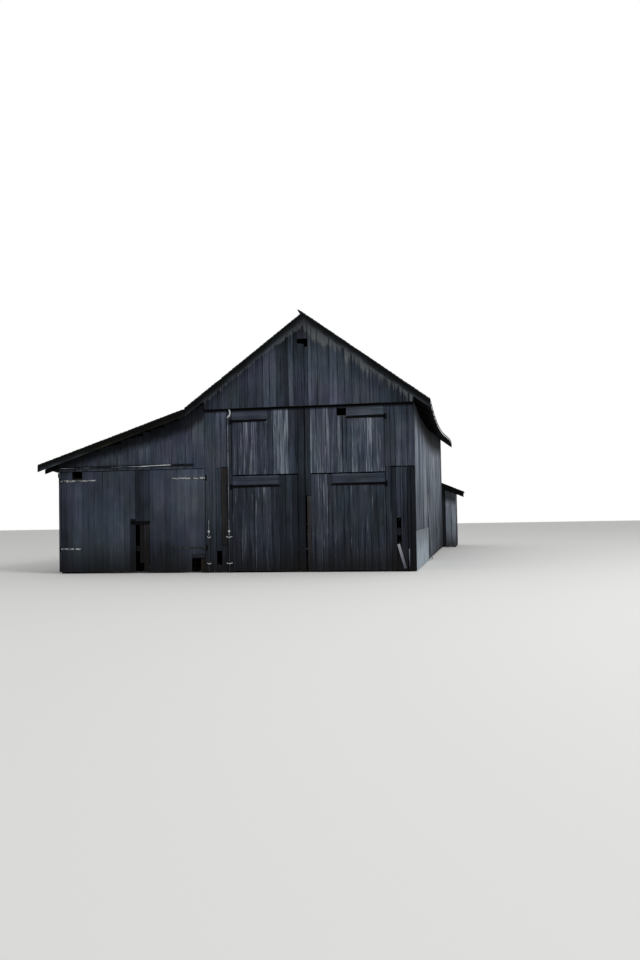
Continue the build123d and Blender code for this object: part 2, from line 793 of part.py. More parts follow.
shed_lines = (shed_left, shed_right - board - shed_timber)
with BuildPart() as shed_frame:
    for y in (y_rear + board, shed_rear - board - shed_timber):
        for x in shed_lines:
            with BuildSketch(Plane.XZ.offset(-y)):
                with BuildLine():
                    Polyline((x, 0), (x, shed_top(x, shed_roof_depth)),
                             (x + shed_timber, shed_top(x + shed_timber, shed_roof_depth)),
                             (x + shed_timber, 0), close=True)
                make_face()
            extrude(amount=-shed_timber)
    for x in shed_lines:
        with BuildSketch(Plane.YZ.offset(x)):
            high = shed_top(x + shed_timber, shed_roof_depth)
            span(y_rear + board, shed_rear - board, high - shed_timber, high)
        extrude(amount=shed_timber)
keep(shed_frame, "shed_frame")
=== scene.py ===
"""Looks of the old timber barn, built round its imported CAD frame. Metres, +Z up, front towards -Y."""

from math import atan, cos, pi, radians, sin, tan

import bpy
import numpy as np
from mathutils import Matrix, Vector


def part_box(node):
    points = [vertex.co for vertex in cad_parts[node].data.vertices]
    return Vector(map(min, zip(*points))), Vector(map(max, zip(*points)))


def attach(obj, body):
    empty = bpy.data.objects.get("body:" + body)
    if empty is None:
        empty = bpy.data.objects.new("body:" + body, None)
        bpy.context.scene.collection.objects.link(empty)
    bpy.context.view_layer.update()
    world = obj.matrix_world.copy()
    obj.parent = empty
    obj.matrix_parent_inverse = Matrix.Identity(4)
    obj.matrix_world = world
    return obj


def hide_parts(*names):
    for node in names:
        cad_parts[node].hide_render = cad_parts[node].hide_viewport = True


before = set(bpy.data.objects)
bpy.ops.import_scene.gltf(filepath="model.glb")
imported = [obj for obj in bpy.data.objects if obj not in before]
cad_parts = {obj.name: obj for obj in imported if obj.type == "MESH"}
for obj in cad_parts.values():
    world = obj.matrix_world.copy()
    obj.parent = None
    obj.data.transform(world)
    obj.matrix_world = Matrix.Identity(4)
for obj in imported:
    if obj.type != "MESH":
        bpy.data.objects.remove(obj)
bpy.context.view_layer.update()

# Gable boards: wide sawn softwood nailed upright to the studs, proud of the boards below. Left bare,
# they went blue-grey, each to its own shade; under the rakes, out of the rain, they stay pale.
X_LEAN, X_LEFT, X_RIDGE, X_RIGHT = -5.42, -0.990, 1.970, 4.930
Y_FRONT, Y_REAR = -9.385, 7.185
MAIN_SLOPE = tan(radians(36.3))
BOARD = 0.025
FAR = 9.0  # past every roof line and every board's edge


def linear(colour):
    """sRGB hex to the linear values that a shader takes."""
    value = np.array([int(colour[i:i + 2], 16) for i in (1, 3, 5)]) / 255
    value = np.where(value <= 0.04045, value / 12.92, ((value + 0.055) / 1.055) ** 2.4)
    return (*value, 1)


def add(tree, kind, links=(), **settings):
    """Adds a node, sets its properties or numbered inputs, and links sockets to its inputs."""
    node = tree.nodes.new(kind)
    for key, value in settings.items():
        if key.startswith("i_"):
            node.inputs[int(key[2:])].default_value = value
        else:
            setattr(node, key, value)
    for place, socket in dict(links).items():
        tree.links.new(socket, node.inputs[place])
    return node


def new_material(name, roughness, metallic=0, specular=0.08):
    """A named material, its node tree, and the object coordinates that its patterns read."""
    material = bpy.data.materials.new(name)
    material.use_nodes = True
    tree = material.node_tree
    shader = tree.nodes["Principled BSDF"]
    shader.inputs["Roughness"].default_value = roughness
    shader.inputs["Metallic"].default_value = metallic
    shader.inputs["Specular IOR Level"].default_value = specular
    return material, tree, add(tree, "ShaderNodeTexCoord").outputs["Object"]


def surface(tree, colour, height=None, strength=0.5, depth=0.006):
    """Gives the shader its colour, and a bump from a height whose full depth is in metres."""
    shader = tree.nodes["Principled BSDF"]
    tree.links.new(colour, shader.inputs["Base Color"])
    if height is not None:
        bump = add(tree, "ShaderNodeBump", {"Height": height}, i_0=strength, i_1=depth)
        tree.links.new(bump.outputs[0], shader.inputs["Normal"])


def ramp(tree, factor, stops):
    """Colours by a factor, from pairs of place and hex."""
    node = add(tree, "ShaderNodeValToRGB", {0: factor})
    elements = node.color_ramp.elements
    while len(elements) < len(stops):
        elements.new(0.5)
    for element, (place, colour) in zip(elements, stops):
        element.position = place
        element.color = linear(colour)
    return node.outputs[0]


def weighted(tree, terms, base):
    """Sum of sockets less a half, each times its weight, on top of a base. A socket with a range after its
    weight is first spread over it, from nought to one."""
    total = None
    for socket, weight, *span in terms:
        if span:
            socket = add(tree, "ShaderNodeMapRange", {0: socket}, i_1=span[0], i_2=span[1]).outputs[0]
        part = add(tree, "ShaderNodeMath", {0: socket}, operation="MULTIPLY_ADD", i_1=weight,
                   i_2=(base if total is None else 0) - weight / 2)
        if total is not None:
            part = add(tree, "ShaderNodeMath", {0: total, 1: part.outputs[0]}, operation="ADD")
        total = part.outputs[0]
    return total


def noise(tree, coordinates, scale, detail=4, rough=0.55):
    """Noise whose features are one over the scale across, in metres, along each of three axes."""
    size = add(tree, "ShaderNodeVectorMath", {0: coordinates}, operation="MULTIPLY", i_1=scale)
    node = add(tree, "ShaderNodeTexNoise", {"Vector": size.outputs[0]})
    node.inputs["Scale"].default_value = 1
    node.inputs["Detail"].default_value = detail
    node.inputs["Roughness"].default_value = rough
    return node.outputs[0]


def stain_and_shade(tree, colour, stain, terms, base, most=1, fade=None):
    """A colour mixed towards a hex, that of a stain or of a painted shade, by a weighted sum, held between
    nought and the most. A fade is a socket, two of its values, and what the sum is multiplied by at each,
    evenly between them."""
    amount = add(tree, "ShaderNodeClamp", {0: weighted(tree, terms, base)}, i_2=most).outputs[0]
    if fade:
        part = add(tree, "ShaderNodeMapRange", {0: fade[0]}, i_1=fade[1], i_2=fade[2], i_3=fade[3], i_4=fade[4])
        amount = add(tree, "ShaderNodeMath", {0: amount, 1: part.outputs[0]}, operation="MULTIPLY").outputs[0]
    return add(tree, "ShaderNodeMix", {0: amount, 6: colour}, data_type="RGBA", i_7=linear(stain)).outputs[2]


def board_values(tree):
    """What each point of a board carries: its place along its own grain, its board's shade, its drop
    below the roof, and its distance from the board's edge."""
    grain, *numbers = (add(tree, "ShaderNodeAttribute", attribute_name=name)
                       for name in ("grain", "tone", "drop", "edge"))
    return grain.outputs["Vector"], *(number.outputs["Fac"] for number in numbers)


def sawn_softwood(name, stops, pale=None, worn=None, streak=0.4, grain=0.36, weather=0.4, fade=0.04,
                  mould_and_shade=None, painted_shadow_line=False, joints=0.25, stains_and_rear_darkening=False, base=0.475, hue=0.5):
    """Bare sawn boards, weathered grey: streaks 90 mm wide run down the grain, raised grain 14 mm apart is
    drawn coarse enough to show, each board has its own shade, the boards grow lighter upwards, and they
    darken towards the foot. Some also have a pale fringe under the rakes, worn pale flecks, black mould and
    painted shade below the roof (how much, and how fast it ends), a painted shadow line under the proud edge
    above, dark joints (how many), or stains, and a darkening low down that grows to the rear."""
    material, tree, place = new_material(name, 0.9)
    along, tone, drop, edge = board_values(tree)
    x, y, z = add(tree, "ShaderNodeSeparateXYZ", {0: place}).outputs
    streaks = noise(tree, along, (11, 11, 0.5), 5, 0.6)
    ribs = noise(tree, along, (70, 70, 1.6), 4)
    fine = noise(tree, along, (330, 330, 9), 3)
    broad = noise(tree, place, (0.9, 0.9, 0.6), 3)
    shade = weighted(tree, [(streaks, streak), (ribs, grain), (fine, grain / 2), (broad, weather), (tone, 1),
                            (z, 2 * fade, 0.9, 3.4)], base)
    hues = noise(tree, place, (1.4, 1.4, 0.8), 4).node.outputs[1]
    cast = add(tree, "ShaderNodeVectorMath", {0: hues}, operation="MULTIPLY_ADD", i_1=(hue, 0.8 * hue, hue),
               i_2=(1 - hue / 2, 1 - 0.4 * hue, 1 - hue / 2)).outputs[0]
    colour = add(tree, "ShaderNodeVectorMath", {0: ramp(tree, shade, stops), 1: cast},
                 operation="MULTIPLY").outputs[0]
    if pale:
        left = add(tree, "ShaderNodeMapRange", {0: x}, i_1=1.9, i_2=2.1, i_3=3, i_4=1)
        short = add(tree, "ShaderNodeMath", {0: drop, 1: left.outputs[0]}, operation="MULTIPLY")
        fringe = [(short.outputs[0], -4.5), (streaks, 5), (ribs, 4), (broad, 1.5), (z, 1.6, 6.2, 6.7)]
        colour = stain_and_shade(tree, colour, pale, fringe, 0.1, 0.75, (x, -1, 4.6, 0.5, 1))
    if worn:
        flecks = noise(tree, along, (30, 30, 1.1), 6, 0.6)
        colour = stain_and_shade(tree, colour, worn, [(flecks, 6), (streaks, 2), (tone, 5.5)], -0.4, 0.55)
    # Black mould and painted shade under the roof's edge, strongest right under it and stronger to the right
    # and rear.
    if mould_and_shade:
        mould_and_shade_terms = [(drop, -mould_and_shade[1]), (streaks, 1.6), (broad, 0.8), (x, 0.9, -5, -2), (y, 1, -9, 0)]
        colour = stain_and_shade(tree, colour, "#0b0d0e", mould_and_shade_terms, mould_and_shade[0], 0.85)
    if joints is not None:
        gaps = noise(tree, along, (3, 3, 0.9), 3)
        colour = stain_and_shade(tree, colour, "#08090b", [(gaps, 8)], joints, fade=(edge, 0.004, 0.02, 1, 0))
    # Painted shadow: a black band from 4.48 m up, under the proud foot of the gable boards.
    if painted_shadow_line:
        colour = stain_and_shade(tree, colour, "#050608", [(z, 1, 4.48, 4.55)], 0.5)
    # The boards darken towards the foot.
    low_darkening = add(tree, "ShaderNodeMapRange", {0: z}, i_1=0.08, i_2=0.95, i_3=1.35, i_4=0)
    low_darkening_terms, least = [(low_darkening.outputs[0], 0.62), (broad, 0.8)], 0.3
    # Dark stain streaks, and a darkening low down that reaches higher and grows stronger towards the rear.
    if stains_and_rear_darkening:
        top = add(tree, "ShaderNodeMapRange", {0: y}, i_1=1, i_2=7, i_3=0.6, i_4=1.9)
        tree.links.new(top.outputs[0], low_darkening.inputs[2])
        low_darkening_terms, least = [*low_darkening_terms, (y, 0.5, 0, 6)], 0.05
        runs = noise(tree, place, (1.1, 1.1, 0.22), 4, 0.55)
        colour = stain_and_shade(tree, colour, "#1c2022", [(runs, 6), (ribs, 1)], -0.05, 0.5)
    colour = stain_and_shade(tree, colour, "#141311", low_darkening_terms, least, 0.8)
    surface(tree, colour, weighted(tree, [(ribs, 1), (fine, 0.6)], 0.5), 0.6)
    return material


# The front takes a darker ramp than the sides as a painted shade: the same weathered wood, shaded here.
SHADED_FRONT_STOPS = [(0.0, "#07080b"), (0.3, "#20242b"), (0.5, "#3b414d"), (0.66, "#585f6c"), (0.82, "#828a95"),
               (1.0, "#a9b0b6")]
front_wood = sawn_softwood("bare_softwood_front", SHADED_FRONT_STOPS, painted_shadow_line=True)
gable_wood = sawn_softwood("bare_softwood_gable", SHADED_FRONT_STOPS, pale="#888d90")
door_wood = sawn_softwood("bare_softwood_doors", SHADED_FRONT_STOPS, worn="#8b929b", streak=0.5, painted_shadow_line=True)
lean_wood = sawn_softwood("bare_softwood_lean_to", SHADED_FRONT_STOPS, streak=0.28, grain=0.12, weather=0.6,
                          mould_and_shade=(0.34, 4), joints=-0.35)
lean_wall_wood = sawn_softwood("bare_softwood_lean_wall", SHADED_FRONT_STOPS, streak=0.5, grain=0.3, weather=0.6,
                               mould_and_shade=(0.34, 4), joints=0)
brown_wood = sawn_softwood("bare_softwood_brown", [(0.0, "#080708"), (0.35, "#1b191a"), (0.55, "#302e30"),
                                                   (0.8, "#5a5757"), (1.0, "#8a8685")], hue=0.25)


def solid_mesh(name, co, faces, body, slot, material, node=None, **values):
    """Object from an array of points [..., 3] and face index arrays, turned inside out if the volume
    they enclose comes out negative. Values are one number, or three, for each point. A node is the CAD
    piece that it stands for."""
    co = co.reshape(-1, 3)
    volume = 0
    for quad in faces:
        a, b, c = co[quad[:, 0]], co[quad[:, 1:-1]], co[quad[:, 2:]]
        volume += np.einsum("ij,ikj->", a, np.cross(b, c))
    if volume < 0:
        faces = [quad[:, ::-1] for quad in faces]
    mesh = bpy.data.meshes.new(name)
    mesh.from_pydata(co.tolist(), [], sum((quad.tolist() for quad in faces), []))
    for key, value in values.items():
        if value.ndim > 1 and value.shape[-1] == 3:
            mesh.attributes.new(key, "FLOAT_VECTOR", "POINT").data.foreach_set("vector", value.ravel())
        else:
            mesh.attributes.new(key, "FLOAT", "POINT").data.foreach_set("value", value.ravel())
    mesh.materials.append(material)
    piece = bpy.data.objects.new(name, mesh)
    bpy.context.scene.collection.objects.link(piece)
    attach(piece, body)
    if node:
        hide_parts(node)


def bar_faces(n, stations, ring):
    """Faces of n closed bars: a ring of points at each station, and a cap at either end."""
    base = np.arange(n)[:, None, None] * stations * ring + np.arange(stations - 1)[:, None] * ring
    near, far = np.arange(ring), (np.arange(ring) + 1) % ring
    sides = np.stack([base + near, base + far, base + far + ring, base + near + ring], -1).reshape(-1, 4)
    start = np.arange(n)[:, None] * stations * ring
    return [sides, start + near[::-1], start + (stations - 1) * ring + near]


def boards(name, lo, hi, foot, head, face=(0, Y_FRONT, 0), body="barn", node=None, slot="front_boards",
           material=front_wood, roof=None, tone=0.5, seed=1, across=(1, 0, 0), out=(0, -1, 0), up=(0, 0, 1),
           spread=0.025, ragged=0.006, gap=0.002, loose=0.0035, stations=7):
    """Boards side by side as closed bars, all at once. Across: each section runs from its low to its
    high edge with rounded outer arrises. The backs meet, and the face edges draw in by half a gap and up to
    the loose. Outwards: the back is a board's thickness behind the face, and the face cups and stands in by
    its own amount. Along: even stations from a ragged foot to its head or the roof line, whichever is
    lower. Each board's shade is its tone, give or take the spread, and each point knows its drop below the
    roof line and how far in it is from the board's edges."""
    rng = np.random.default_rng(seed)
    lo, hi, foot, head, tone = np.broadcast_arrays(lo, hi, foot, head, tone)
    n = len(lo)
    side = np.array([0, 0, 0, 0.5, 1, 1, 1])
    round_in = np.array([0, 0, 1, 0, -1, 0, 0])
    depth = np.array([0, 1, 1, 1, 1, 1, 0])
    arris = 0.004
    t = np.linspace(0, 1, stations)[None, :, None]
    wander = rng.uniform(0, loose, (n, stations, 2))
    wander = gap / 2 + np.repeat(wander, [4, 3], -1)
    inward = np.where(side < 0.5, 1, np.where(side > 0.5, -1, 0)) * np.where(depth > 0, 1, 0.05)
    a = lo[:, None, None] + (hi - lo)[:, None, None] * side + wander * inward + arris * round_in
    cup = rng.uniform(-0.002, 0.002, (n, 1, 1)) * (side == 0.5)
    stand = rng.uniform(-0.0045, 0.0005, (n, 1, 1)) + rng.uniform(-0.002, 0.001, (n, stations, 1))
    d = depth * (BOARD + stand) - arris * np.array([0, 1, 0, 0, 0, 1, 0]) + cup
    top = head[:, None, None] + np.zeros_like(a) - rng.uniform(0, ragged, (n, 1, 1))
    if roof is not None:
        top = np.minimum(top, roof(a))
    low = foot[:, None, None] + rng.uniform(0, ragged, (n, 1, 1))
    low = low + rng.uniform(-1, 1, (n, 1, 1)) * ragged * (side - 0.5)
    along = low + (top - low) * t
    axes = np.array([across, out, up], float)
    origin = np.asarray(face, float) - BOARD * axes[1]
    co = origin + a[..., None] * axes[0] + d[..., None] * axes[1] + along[..., None] * axes[2]
    own = rng.uniform(0, 40, (n, 1, 1, 2))
    grain = np.stack(np.broadcast_arrays(a - lo[:, None, None] + own[..., 0], d, along + own[..., 1]), -1)
    shade = tone[:, None, None] + rng.uniform(-1, 1, (n, 1, 1)) * spread + np.zeros_like(a)
    drop = (along + FAR if roof is None else roof(a)) - along
    edge = np.minimum(a - lo[:, None, None], hi[:, None, None] - a) + FAR * (depth == 0) + 0 * along
    solid_mesh(name, co, bar_faces(n, stations, 7), body, slot, material, node, grain=grain, tone=shade,
               drop=drop, edge=edge)


def under_main_roof(x, top=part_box("front_gable")[1].z):
    """Line of the main roof over x: the ridge height less the distance from the ridge times the slope."""
    return top - np.abs(x - X_RIDGE) * MAIN_SLOPE


gable_edges = np.array([-0.99, -0.74, -0.45, -0.16, 0.06, 0.304, 0.55, 0.74, 0.938, 1.13, 1.253, 1.40, 1.47,
                        1.62, 1.73, 1.84, 1.93, 2.03, 2.13, 2.30, 2.628, 2.86, 3.058, 3.26, 3.475, 3.75,
                        4.026, 4.355, 4.64, 4.93])
gable_tones = [0.30, 0.36, 0.48, 0.45, 0.47, 0.50, 0.46, 0.58, 0.58, 0.43, 0.37, 0.41, 0.53, 0.40, 0.43, 0.37,
               0.39, 0.61, 0.49, 0.45, 0.58, 0.54, 0.53, 0.48, 0.46, 0.51, 0.51, 0.47, 0.40, 0.47]
# Three boards end under the owl hole, and the last one in the list hangs over it.
lo, hi = np.append(gable_edges[:-1], 1.73), np.append(gable_edges[1:], 2.03)
feet, heads = np.append(np.full(29, 4.61), 6.485), np.full(30, FAR)
heads[14:17] = 6.355, 6.34, 6.255
boards("gable_boards", lo, hi, feet, heads, (0, Y_FRONT - 0.04, 0), node="front_gable", material=gable_wood,
       roof=under_main_roof, tone=gable_tones, seed=3)

# Panels beside the main doors: upright boards nailed to the door posts and corner posts. The right
# panel's short lower boards lap under its upper ones, and two are broken through near the ground.
panel = np.array([
    [-0.990, -0.776, 0.03, 4.60, 0.41], [-0.776, -0.668, 0.03, 4.60, 0.46], [-0.665, -0.520, 0.61, 2.94, 0.38],
    [-0.665, -0.520, 2.95, 4.60, 0.54], [-0.665, -0.520, 0.03, 0.22, 0.34], [-0.517, -0.338, 2.97, 4.60, 0.56],
    [-0.517, -0.338, 0.03, 0.77, 0.35], [-0.335, -0.200, 0.03, 4.60, 0.40]])
boards("left_panel_boards", *panel.T[:4], node="front_panel_left", tone=panel.T[4], seed=5)
boards("left_panel_brown_board", [-0.517], [-0.338], 0.78, 2.96, material=brown_wood, seed=10)

HOLE_LO, HOLE_HI = 4.41, 4.53
panel = np.array([
    [4.130, 4.279, 2.87, 4.60, 0.45], [4.130, 4.279, 0.03, 2.862, 0.42],
    [4.279, HOLE_LO, 2.87, 4.60, 0.48], [4.279, HOLE_LO, 0.03, 2.845, 0.30],
    [HOLE_LO, 4.591, 2.87, 4.60, 0.55],
    [HOLE_LO, HOLE_HI, 1.463, 2.845, 0.46], [HOLE_LO, HOLE_HI, 0.99, 1.177, 0.2],
    [HOLE_LO, HOLE_HI, 0.03, 0.8, 0.2], [HOLE_HI, 4.591, 0.03, 2.845, 0.40],
    [4.591, 4.740, 2.87, 4.60, 0.48], [4.591, 4.700, 0.03, 2.845, 0.35],
    [4.740, 4.930, 2.87, 4.60, 0.45], [4.706, 4.800, 0.03, 2.845, 0.23], [4.806, 4.930, 0.03, 2.845, 0.14]])
boards("right_panel_boards", *panel.T[:4], node="front_panel_right", tone=panel.T[4], seed=6)
lean = radians(15)
boards("loose_pale_splinter", [-0.045], [0.03], 0, 0.68, (4.63, Y_FRONT - BOARD, 0.09), tone=0.98, seed=7,
       across=(cos(lean), 0, sin(lean)), up=(-sin(lean), 0, cos(lean)), ragged=0.05)
boards("second_pale_splinter", [4.722], [4.752], 0.12, 0.64, (0, Y_FRONT - BOARD, 0), tone=0.8, seed=34,
       ragged=0.04)

# Lean-to front: short boards from the roof down over the door heads, their tops eaten away in places,
# and one narrow board down the left corner.
def node_points(node):
    """Every point of a CAD node's mesh."""
    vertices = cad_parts[node].data.vertices
    points = np.zeros(len(vertices) * 3)
    vertices.foreach_get("co", points)
    return points.reshape(-1, 3)


def upper_outline(points, axis):
    """The places along an axis at which points stand, and the height of the highest at each."""
    places = np.unique(points[:, axis].round(4))
    return places, np.array([points[np.abs(points[:, axis] - place) < 2e-4, 2].max() for place in places])


def top_line(node, axis, above):
    """Upper outline of a CAD node along an axis, as a function that interpolates between its points."""
    points = node_points(node)
    places, heights = upper_outline(points[points[:, 2] > above], axis)
    return lambda a: np.interp(a, places, heights)


lean_roof = top_line("lean_front_wall", 0, 3.0)
lean_edges = np.array([-5.42, -5.16, -4.90, -4.67, -4.43, -4.2, -3.98, -3.72, -3.5, -3.3, -3.06, -2.83, -2.6,
                       -2.42, -2.2, -1.98, -1.76, -1.55, -1.36, -1.17, -0.99])
eaten = np.array([0, 0, 0.03, 0, 0.05, 0.03, 0.06, 0.1, 0.05, 0.08, 0.11, 0.07, 0.05, 0.09, 0.04, 0.06, 0.03, 0,
                  0, 0])
lean_tones = [0.42, 0.44, 0.46, 0.47, 0.49, 0.47, 0.47, 0.45, 0.46, 0.48, 0.49, 0.48, 0.49, 0.46, 0.48, 0.45,
              0.40, 0.42, 0.47, 0.44]
lean_heads = lean_roof((lean_edges[:-1] + lean_edges[1:]) / 2) - eaten + FAR * (eaten == 0)
boards("lean_front_boards", lean_edges[:-1], lean_edges[1:], 2.953, lean_heads, node="lean_front_wall",
       roof=lean_roof, tone=lean_tones, seed=8, stations=4, material=lean_wall_wood)
boards("lean_corner_board", [X_LEAN], [-5.34], 0.03, 2.95, node="corner_board", tone=0.45, seed=9, ragged=0.05)

# Main door leaves: two tiers of upright boards nailed to ledges, with level boards at the hinges. The
# upper tier is newer and paler; the right leaf is broken through beside its upper hinge.
LEAF_FOOT, UNDER_LOWER, LOWER_HEAD, SEAM, UNDER_UPPER, LEAF_HEAD = 0.04, 2.422, 2.702, 2.732, 4.262, 4.576
LEVEL = dict(across=(0, 0, 1), up=(1, 0, 0))


def tier(edges, foot, head, tones):
    """Rows for boards side by side that share their edges: low edge, high edge, foot, head and shade."""
    return np.column_stack([edges[:-1], edges[1:], *np.broadcast_arrays(foot, head, tones)])


def leaf_boards(leaf, seed, *tiers, **settings):
    """The upright boards of one leaf, from its tiers."""
    rows = np.concatenate(tiers).T
    boards(f"{leaf}_leaf_boards", *rows[:4], body=f"{leaf}_door", node=f"{leaf}_leaf", tone=rows[4], seed=seed,
           **settings)


leaf_boards("main_left", 11,
            tier([-0.188, -0.02, 0.125, 0.342, 0.54, 0.745, 0.86, 1.003, 1.15, 1.303, 1.44, 1.64, 1.69], SEAM,
                 np.repeat([UNDER_UPPER, LEAF_HEAD], 6),
                 [0.5, 0.48, 0.53, 0.58, 0.43, 0.48, 0.43, 0.6, 0.6, 0.63, 0.42, 0.33]),
            tier([1.695, 1.89], LEAF_FOOT, LEAF_HEAD, [0.24]),
            tier([-0.188, 0.047, 0.22, 0.45, 0.68, 0.938, 1.15, 1.33, 1.521, 1.678], LEAF_FOOT,
                 np.repeat([UNDER_LOWER, LOWER_HEAD], [6, 3]),
                 [0.44, 0.45, 0.43, 0.48, 0.46, 0.41, 0.33, 0.36, 0.28]), material=door_wood)
boards("main_left_level_boards", [4.282, 2.444], [LEAF_HEAD, LOWER_HEAD], -0.188, [0.857, 1.147],
       body="main_left_door", tone=[0.5, 0.46], seed=12, **LEVEL)
leaf_boards("main_right", 13,
            tier([1.91, 2.05, 2.223, 2.37, 2.504, 2.6, 2.81], [2.12, *[SEAM] * 5], LEAF_HEAD,
                 [0.38, 0.53, 0.51, 0.53, 0.54, 0.47]),
            [[2.81, 2.954, SEAM, 4.3, 0.53], [2.97, 3.07, SEAM, 4.3, 0.51], [2.81, 3.07, 4.5, LEAF_HEAD, 0.36]],
            tier([3.07, 3.201, 3.422, 3.643, 3.781, 3.95, 4.118], SEAM, UNDER_UPPER,
                 [0.49, 0.53, 0.53, 0.59, 0.56, 0.46]),
            tier([2.05, 2.155, 2.379, 2.52, 2.66, 2.77, 2.964, 3.13, 3.351, 3.55, 3.709, 3.9, 4.118],
                 LEAF_FOOT, np.repeat([LOWER_HEAD, UNDER_LOWER], [4, 8]),
                 [0.41, 0.47, 0.48, 0.43, 0.46, 0.43, 0.39, 0.44, 0.41, 0.46, 0.43, 0.43]),
            material=door_wood)
boards("main_right_leaf_brown_board", [1.938], [2.05], LEAF_FOOT, 2.11, body="main_right_door",
       material=brown_wood, tone=0.58, seed=19)
boards("main_right_level_boards", [4.282, 2.444], [LEAF_HEAD, LOWER_HEAD], [3.073, 2.663], 4.118,
       body="main_right_door", tone=[0.54, 0.49], seed=14, **LEVEL)

# Lean-to door leaves: one tier of wide boards on three ledges. The left leaf has lost the ends of two
# boards at its head; the right one is broken at the foot of its meeting edge, where a brown board hangs
# free, and has a sawn cat hole low down with a level board over it.
LEAN_HEAD, TIGHT = 2.938, dict(material=lean_wood, gap=0.0005, loose=0.0015)
leaf_boards("lean_left", 15, tier([-5.328, -5.165, -5.003], LEAF_FOOT, LEAN_HEAD, [0.41, 0.45]),
            tier([-5.0, -4.845, -4.69], LEAF_FOOT, 2.715, [0.52, 0.54]),
            tier([-4.687, -4.51, -4.333, -4.058, -3.89, -3.722, -3.56, -3.418, -3.24], LEAF_FOOT, LEAN_HEAD,
                 [0.45, 0.47, 0.44, 0.45, 0.53, 0.55, 0.55, 0.49]),
            [[-3.24, -3.076, 1.55, LEAN_HEAD, 0.47], [-3.24, -3.076, LEAF_FOOT, 1.545, 0.29]], **TIGHT)
leaf_boards("lean_right", 16,
            tier([-3.064, -2.949, -2.824, -2.668], [1.39, 1.4, 1.4], LEAN_HEAD, [0.33, 0.37, 0.36]),
            tier([-2.655, -2.54, -2.334, -2.18, -2.03, -1.827, -1.6, -1.404], LEAF_FOOT, LEAN_HEAD,
                 [0.43, 0.47, 0.46, 0.41, 0.44, 0.48, 0.52]),
            tier([-1.404, -1.2, -1.002], 0.52, LEAN_HEAD, [0.51, 0.47]), **TIGHT)
boards("lean_right_leaf_brown_boards", [-2.949, -2.824], [-2.824, -2.668], [0.29, LEAF_FOOT], 1.39,
       body="lean_right_door", material=brown_wood, tone=[0.36, 0.46], seed=18)
boards("cat_hole_board", [0.42], [0.517], -1.4, -1.002, body="lean_right_door", tone=0.4, seed=17, stations=4,
       **LEVEL)

# Side and rear walls: the same boards in a paler ramp, a painted light that stands for the greater light on
# the sunny side, where the front's darker ramp is its painted shade. Their tops follow the swayback under the
# rafters.
LIT_SIDE_STOPS = [(0.0, "#0f1116"), (0.3, "#31363e"), (0.5, "#565d67"), (0.66, "#727984"), (0.82, "#9299a2"),
              (1.0, "#b1b7bb")]
side_wood = sawn_softwood("bare_softwood_sunny_side", LIT_SIDE_STOPS, streak=0.5, grain=0.3, weather=0.7,
                          fade=0.09, mould_and_shade=(-0.15, 2), stains_and_rear_darkening=True, joints=0.5, base=0.54, hue=0.25)
# The shed's boards take a stronger black below the roof, mould with painted shade.
shed_wood_painted_shade = sawn_softwood("bare_softwood_shed", LIT_SIDE_STOPS, mould_and_shade=(-0.05, 3), joints=0.5, hue=0.25)


def spaced(start, end, width, seed):
    """Edges between two ends at random widths about the given one."""
    rng = np.random.default_rng(seed)
    steps = rng.uniform(0.72, 1.28, round((end - start) / width))
    return start + (end - start) * np.append(0, np.cumsum(steps) / steps.sum())


SIDE = dict(slot="side_boards", material=side_wood, spread=0.08)
SPRUNG_LO, SPRUNG_HI, SPRUNG_TOP = -3.678, -3.458, 2.2
front_run = spaced(Y_FRONT + BOARD, SPRUNG_LO, 0.24, 21)
rear_run = spaced(SPRUNG_HI, Y_REAR - BOARD, 0.24, 20)
edges = np.concatenate([front_run, rear_run])
feet = np.where(np.arange(len(edges) - 1) == len(front_run) - 1, SPRUNG_TOP, 0.03)
boards("right_wall_boards", edges[:-1], edges[1:], feet, FAR, (X_RIGHT, 0, 0), node="right_wall",
       roof=top_line("right_wall", 1, 2.6), across=(0, 1, 0), out=(1, 0, 0), seed=23, ragged=0.03,
       tone=np.append(0.2, np.full(len(feet) - 1, 0.5)), **SIDE)
spring = radians(2.9)
free_run = SPRUNG_TOP - 0.03
boards("sprung_board", [SPRUNG_LO + 0.002], [SPRUNG_HI - 0.002], 0, free_run - 0.004,
       (X_RIGHT + free_run * sin(spring), 0, SPRUNG_TOP - free_run * cos(spring)), tone=0.78, seed=28,
       across=(0, 1, 0), out=(cos(spring), 0, sin(spring)), up=(-sin(spring), 0, cos(spring)), **SIDE)
edges = spaced(Y_FRONT + BOARD, Y_REAR - BOARD, 0.24, 22)
boards("lean_left_wall_boards", edges[:-1], edges[1:], 0.03, FAR, (X_LEAN, 0, 0), node="lean_left_wall",
       roof=top_line("lean_left_wall", 1, 2.6), across=(0, 1, 0), out=(-1, 0, 0), seed=21, ragged=0.03,
       **SIDE)
edges = spaced(X_LEFT, X_RIGHT, 0.24, 24)
boards("rear_wall_boards", edges[:-1], edges[1:], 0.008, FAR, (0, Y_REAR, 0), node="rear_wall", out=(0, 1, 0),
       seed=25, roof=lambda x: under_main_roof(x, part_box("rear_wall")[1].z), ragged=0.01, **SIDE)
edges = spaced(X_LEAN, X_LEFT, 0.24, 26)
boards("lean_rear_wall_boards", edges[:-1], edges[1:], 0.008, FAR, (0, Y_REAR, 0), node="lean_rear_wall",
       out=(0, 1, 0), seed=27, roof=top_line("lean_rear_wall", 0, 2.6), ragged=0.01, **SIDE)

